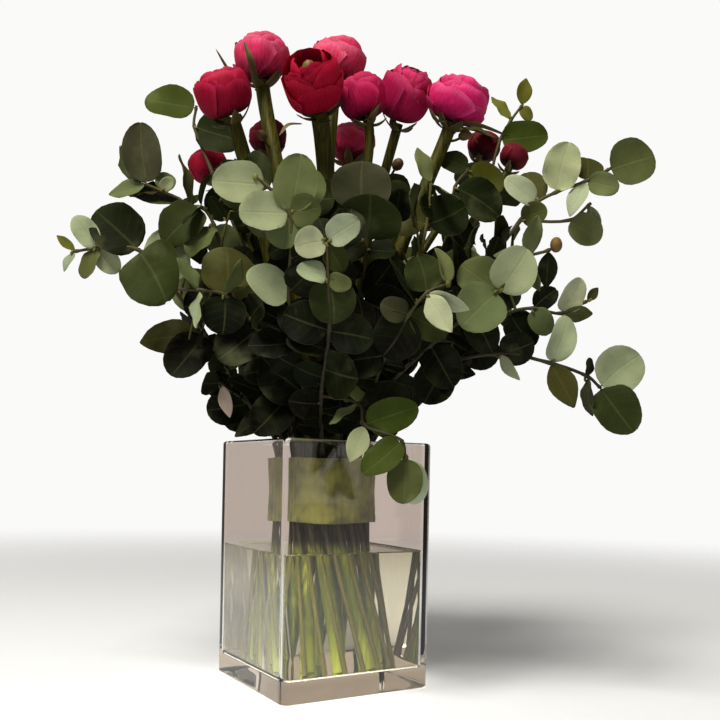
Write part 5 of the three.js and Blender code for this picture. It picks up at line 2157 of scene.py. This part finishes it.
@dataclass
class WrapPiece:
    """The soft band that ties the stems, gathered into shallow pleats.

    Attributes:
        inner: The radius of the bundle that it lies round.
        thickness: Its thickness.
        waist: How much wider it is at its ends than at its middle.
        pleat: How deep its pleats are.
        crush: How far it bulges and sinks from level to level.
    """

    inner: float = 29.6
    thickness: float = 2.0
    waist: float = 0.8
    pleats: int = 46
    pleat: float = 0.35
    crush: float = 0.35
    rings: int = 15
    sides: int = 184

    def ring(self, radius: float, height: float, depth: float) -> np.ndarray:
        """Return a level ring, uneven round the band.

        Args:
            radius: Its radius.
            height: Its height.
            depth: How deep its pleats are.

        Returns:
            The ring's points.
        """
        angles = np.linspace(0, 2 * math.pi, self.sides, endpoint=False)
        folds = np.sin(self.pleats * angles + 1.4 * np.sin(3 * angles) + 0.05 * height)
        reach = radius + depth * folds * (0.7 + 0.3 * np.sin(5 * angles + 0.1 * height))
        level = height + 0.5 * np.sin(4 * angles) * (depth > 0)
        return np.column_stack((reach * np.cos(angles), reach * np.sin(angles), level))

    def build(self) -> None:
        """Make the band and put it in its node's place."""
        draft = Draft()
        middle = (WRAP_LOW + WRAP_HIGH) / 2
        low, high = WRAP_LOW + 0.5, WRAP_HIGH - 0.5
        rings = []
        for height in np.linspace(low, high, self.rings):
            away = abs(height - middle) / (middle - WRAP_LOW)
            crush = self.crush * math.sin(height * 1.1)
            radius = self.inner + self.thickness + self.waist * away + crush
            rings.append(self.ring(radius, height, self.pleat * (0.6 + away)))
        for height in np.linspace(high, low, self.rings):
            rings.append(self.ring(self.inner + 0.2, height, 0.0))
        draft.loops(rings, closed=True)
        piece = draft.build("binding_wrap_fine", (WrapFinish().material(),), turn=False)
        settle(piece, "binding_wrap")


# ---------- Floor, light and camera ----------


@dataclass
class Studio:
    """The plain floor, soft light and camera.

    Attributes:
        eye: The camera's place in the bouquet's frame, from which it looks along y.
        roll: The camera's roll, in degrees.
        lens: Its focal length.
        shift: Its upward shift.
        aim: What the lights point at, in the bouquet's frame.
        backdrop: The surroundings as the camera sees them.
        glow: The light that they give.
        behind_glass: The surroundings as they show through glass and water.
    """

    eye: Point = (23.2, -540.0, 131.0)
    roll: float = 1.16
    lens: float = 42.5
    shift: float = 0.157
    aim: Point = (0.0, 0.0, 250.0)
    floor_radius: float = 6000.0
    floor_sides: int = 64
    backdrop: Colour = (0.96, 0.955, 0.95, 1.0)
    glow: Colour = (0.26, 0.245, 0.20, 1.0)
    behind_glass: Colour = (0.56, 0.47, 0.42, 1.0)

    def build_floor(self) -> None:
        """Lay the floor."""
        draft = Draft()
        count = self.floor_sides
        ring = [on_circle(self.floor_radius, i / count * 2 * math.pi, -0.05) for i in range(count)]
        draft.add_points(np.array(ring), np.zeros(count), np.zeros(count))
        draft.add_faces(np.arange(count)[None], 0, WHITE)
        draft.build("floor", (FloorFinish().material(),))

    def light(self, name: str, at: Point, size: float, power: float, colour: Point) -> None:
        """Hang a square soft light that shines at the bouquet.

        Args:
            name: The light's name.
            at: Its place in the bouquet's frame.
            size: Its side.
            power: Its power in watts.
            colour: Its colour.
        """
        lamp = bpy.data.lights.new(name, "AREA")
        lamp.size = size * MM
        lamp.energy = power
        lamp.color = colour
        piece = bpy.data.objects.new(name, lamp)
        place = TO_PART @ vector(at)
        piece.location = place.tolist()
        back = unit(place - TO_PART @ vector(self.aim))
        side = unit(np.cross(UP, back))
        turn = Matrix(np.column_stack((side, np.cross(back, side), back)).tolist())
        piece.rotation_euler = turn.to_euler()
        bpy.context.scene.collection.objects.link(piece)

    @staticmethod
    def background(tree: bpy.types.NodeTree, colour: Colour) -> bpy.types.NodeSocket:
        """Add a plain background to the world's nodes and return its output."""
        shade = tree.nodes.new("ShaderNodeBackground")
        shade.inputs["Color"].default_value = colour
        return shade.outputs[0]

    def build_lights(self) -> None:
        """Hang the lights and set the surroundings' glow."""
        self.light("key light", (-330, -640, 1300), 520, 25.0, (1.0, 0.96, 0.80))
        self.light("fill light", (800, -900, 500), 900, 1.0, (1.0, 0.96, 0.86))
        world = bpy.data.worlds.new("pale surroundings")
        bpy.context.scene.world = world
        world.use_nodes = True
        tree = world.node_tree
        tree.nodes.clear()
        rays = tree.nodes.new("ShaderNodeLightPath")
        shown = self.background(tree, self.glow)
        seen = {"Is Transmission Ray": self.behind_glass, "Is Camera Ray": self.backdrop}
        for ray, colour in seen.items():
            share = tree.nodes.new("ShaderNodeMixShader")
            tree.links.new(rays.outputs[ray], share.inputs[0])
            tree.links.new(shown, share.inputs[1])
            tree.links.new(self.background(tree, colour), share.inputs[2])
            shown = share.outputs[0]
        output = tree.nodes.new("ShaderNodeOutputWorld")
        tree.links.new(shown, output.inputs["Surface"])
        bpy.context.scene.view_settings.view_transform = "Standard"

    def build_camera(self) -> None:
        """Stand the camera where the picture was taken from."""
        lens = bpy.data.cameras.new("camera")
        lens.lens = self.lens
        lens.sensor_width = 36.0
        lens.shift_y = self.shift
        lens.clip_start = 0.01
        lens.clip_end = 30.0
        camera = bpy.data.objects.new("camera", lens)
        turn = Matrix.Rotation(BOUQUET_TURN, 4, "Z") @ Matrix.Rotation(math.pi / 2, 4, "X")
        turn = turn @ Matrix.Rotation(math.radians(self.roll), 4, "Z")
        camera.matrix_world = Matrix.Translation((TO_PART @ vector(self.eye)).tolist()) @ turn
        bpy.context.scene.collection.objects.link(camera)
        bpy.context.scene.camera = camera


def main() -> None:
    """Build the bouquet, its vase and the studio, and report each piece."""
    logging.basicConfig(level=logging.INFO, format="%(name)s: %(message)s")
    studio = Studio()
    studio.build_camera()
    VasePiece().build()
    WaterPiece().build()
    WrapPiece().build()
    finishes = Finishes()
    crowd = Crowd()
    for index, flower in enumerate(FLOWERS):
        piece = RanunculusPiece(flower, index)
        piece.build_stem(finishes, crowd)
        piece.build_bloom(finishes, crowd)
    draws = Draws(BACK_SEED)
    back = tuple(back_spray(*row, draws) for row in BACK_TIPS)
    sprays = [SprayPiece(spray, index) for index, spray in enumerate((*FRONT_SPRAYS, *back))]
    for piece in sprays:
        piece.grow(crowd)
    for piece in sprays:
        piece.thicken(crowd)
        piece.build(finishes)
    studio.build_floor()
    studio.build_lights()


if __name__ == "__main__":
    main()
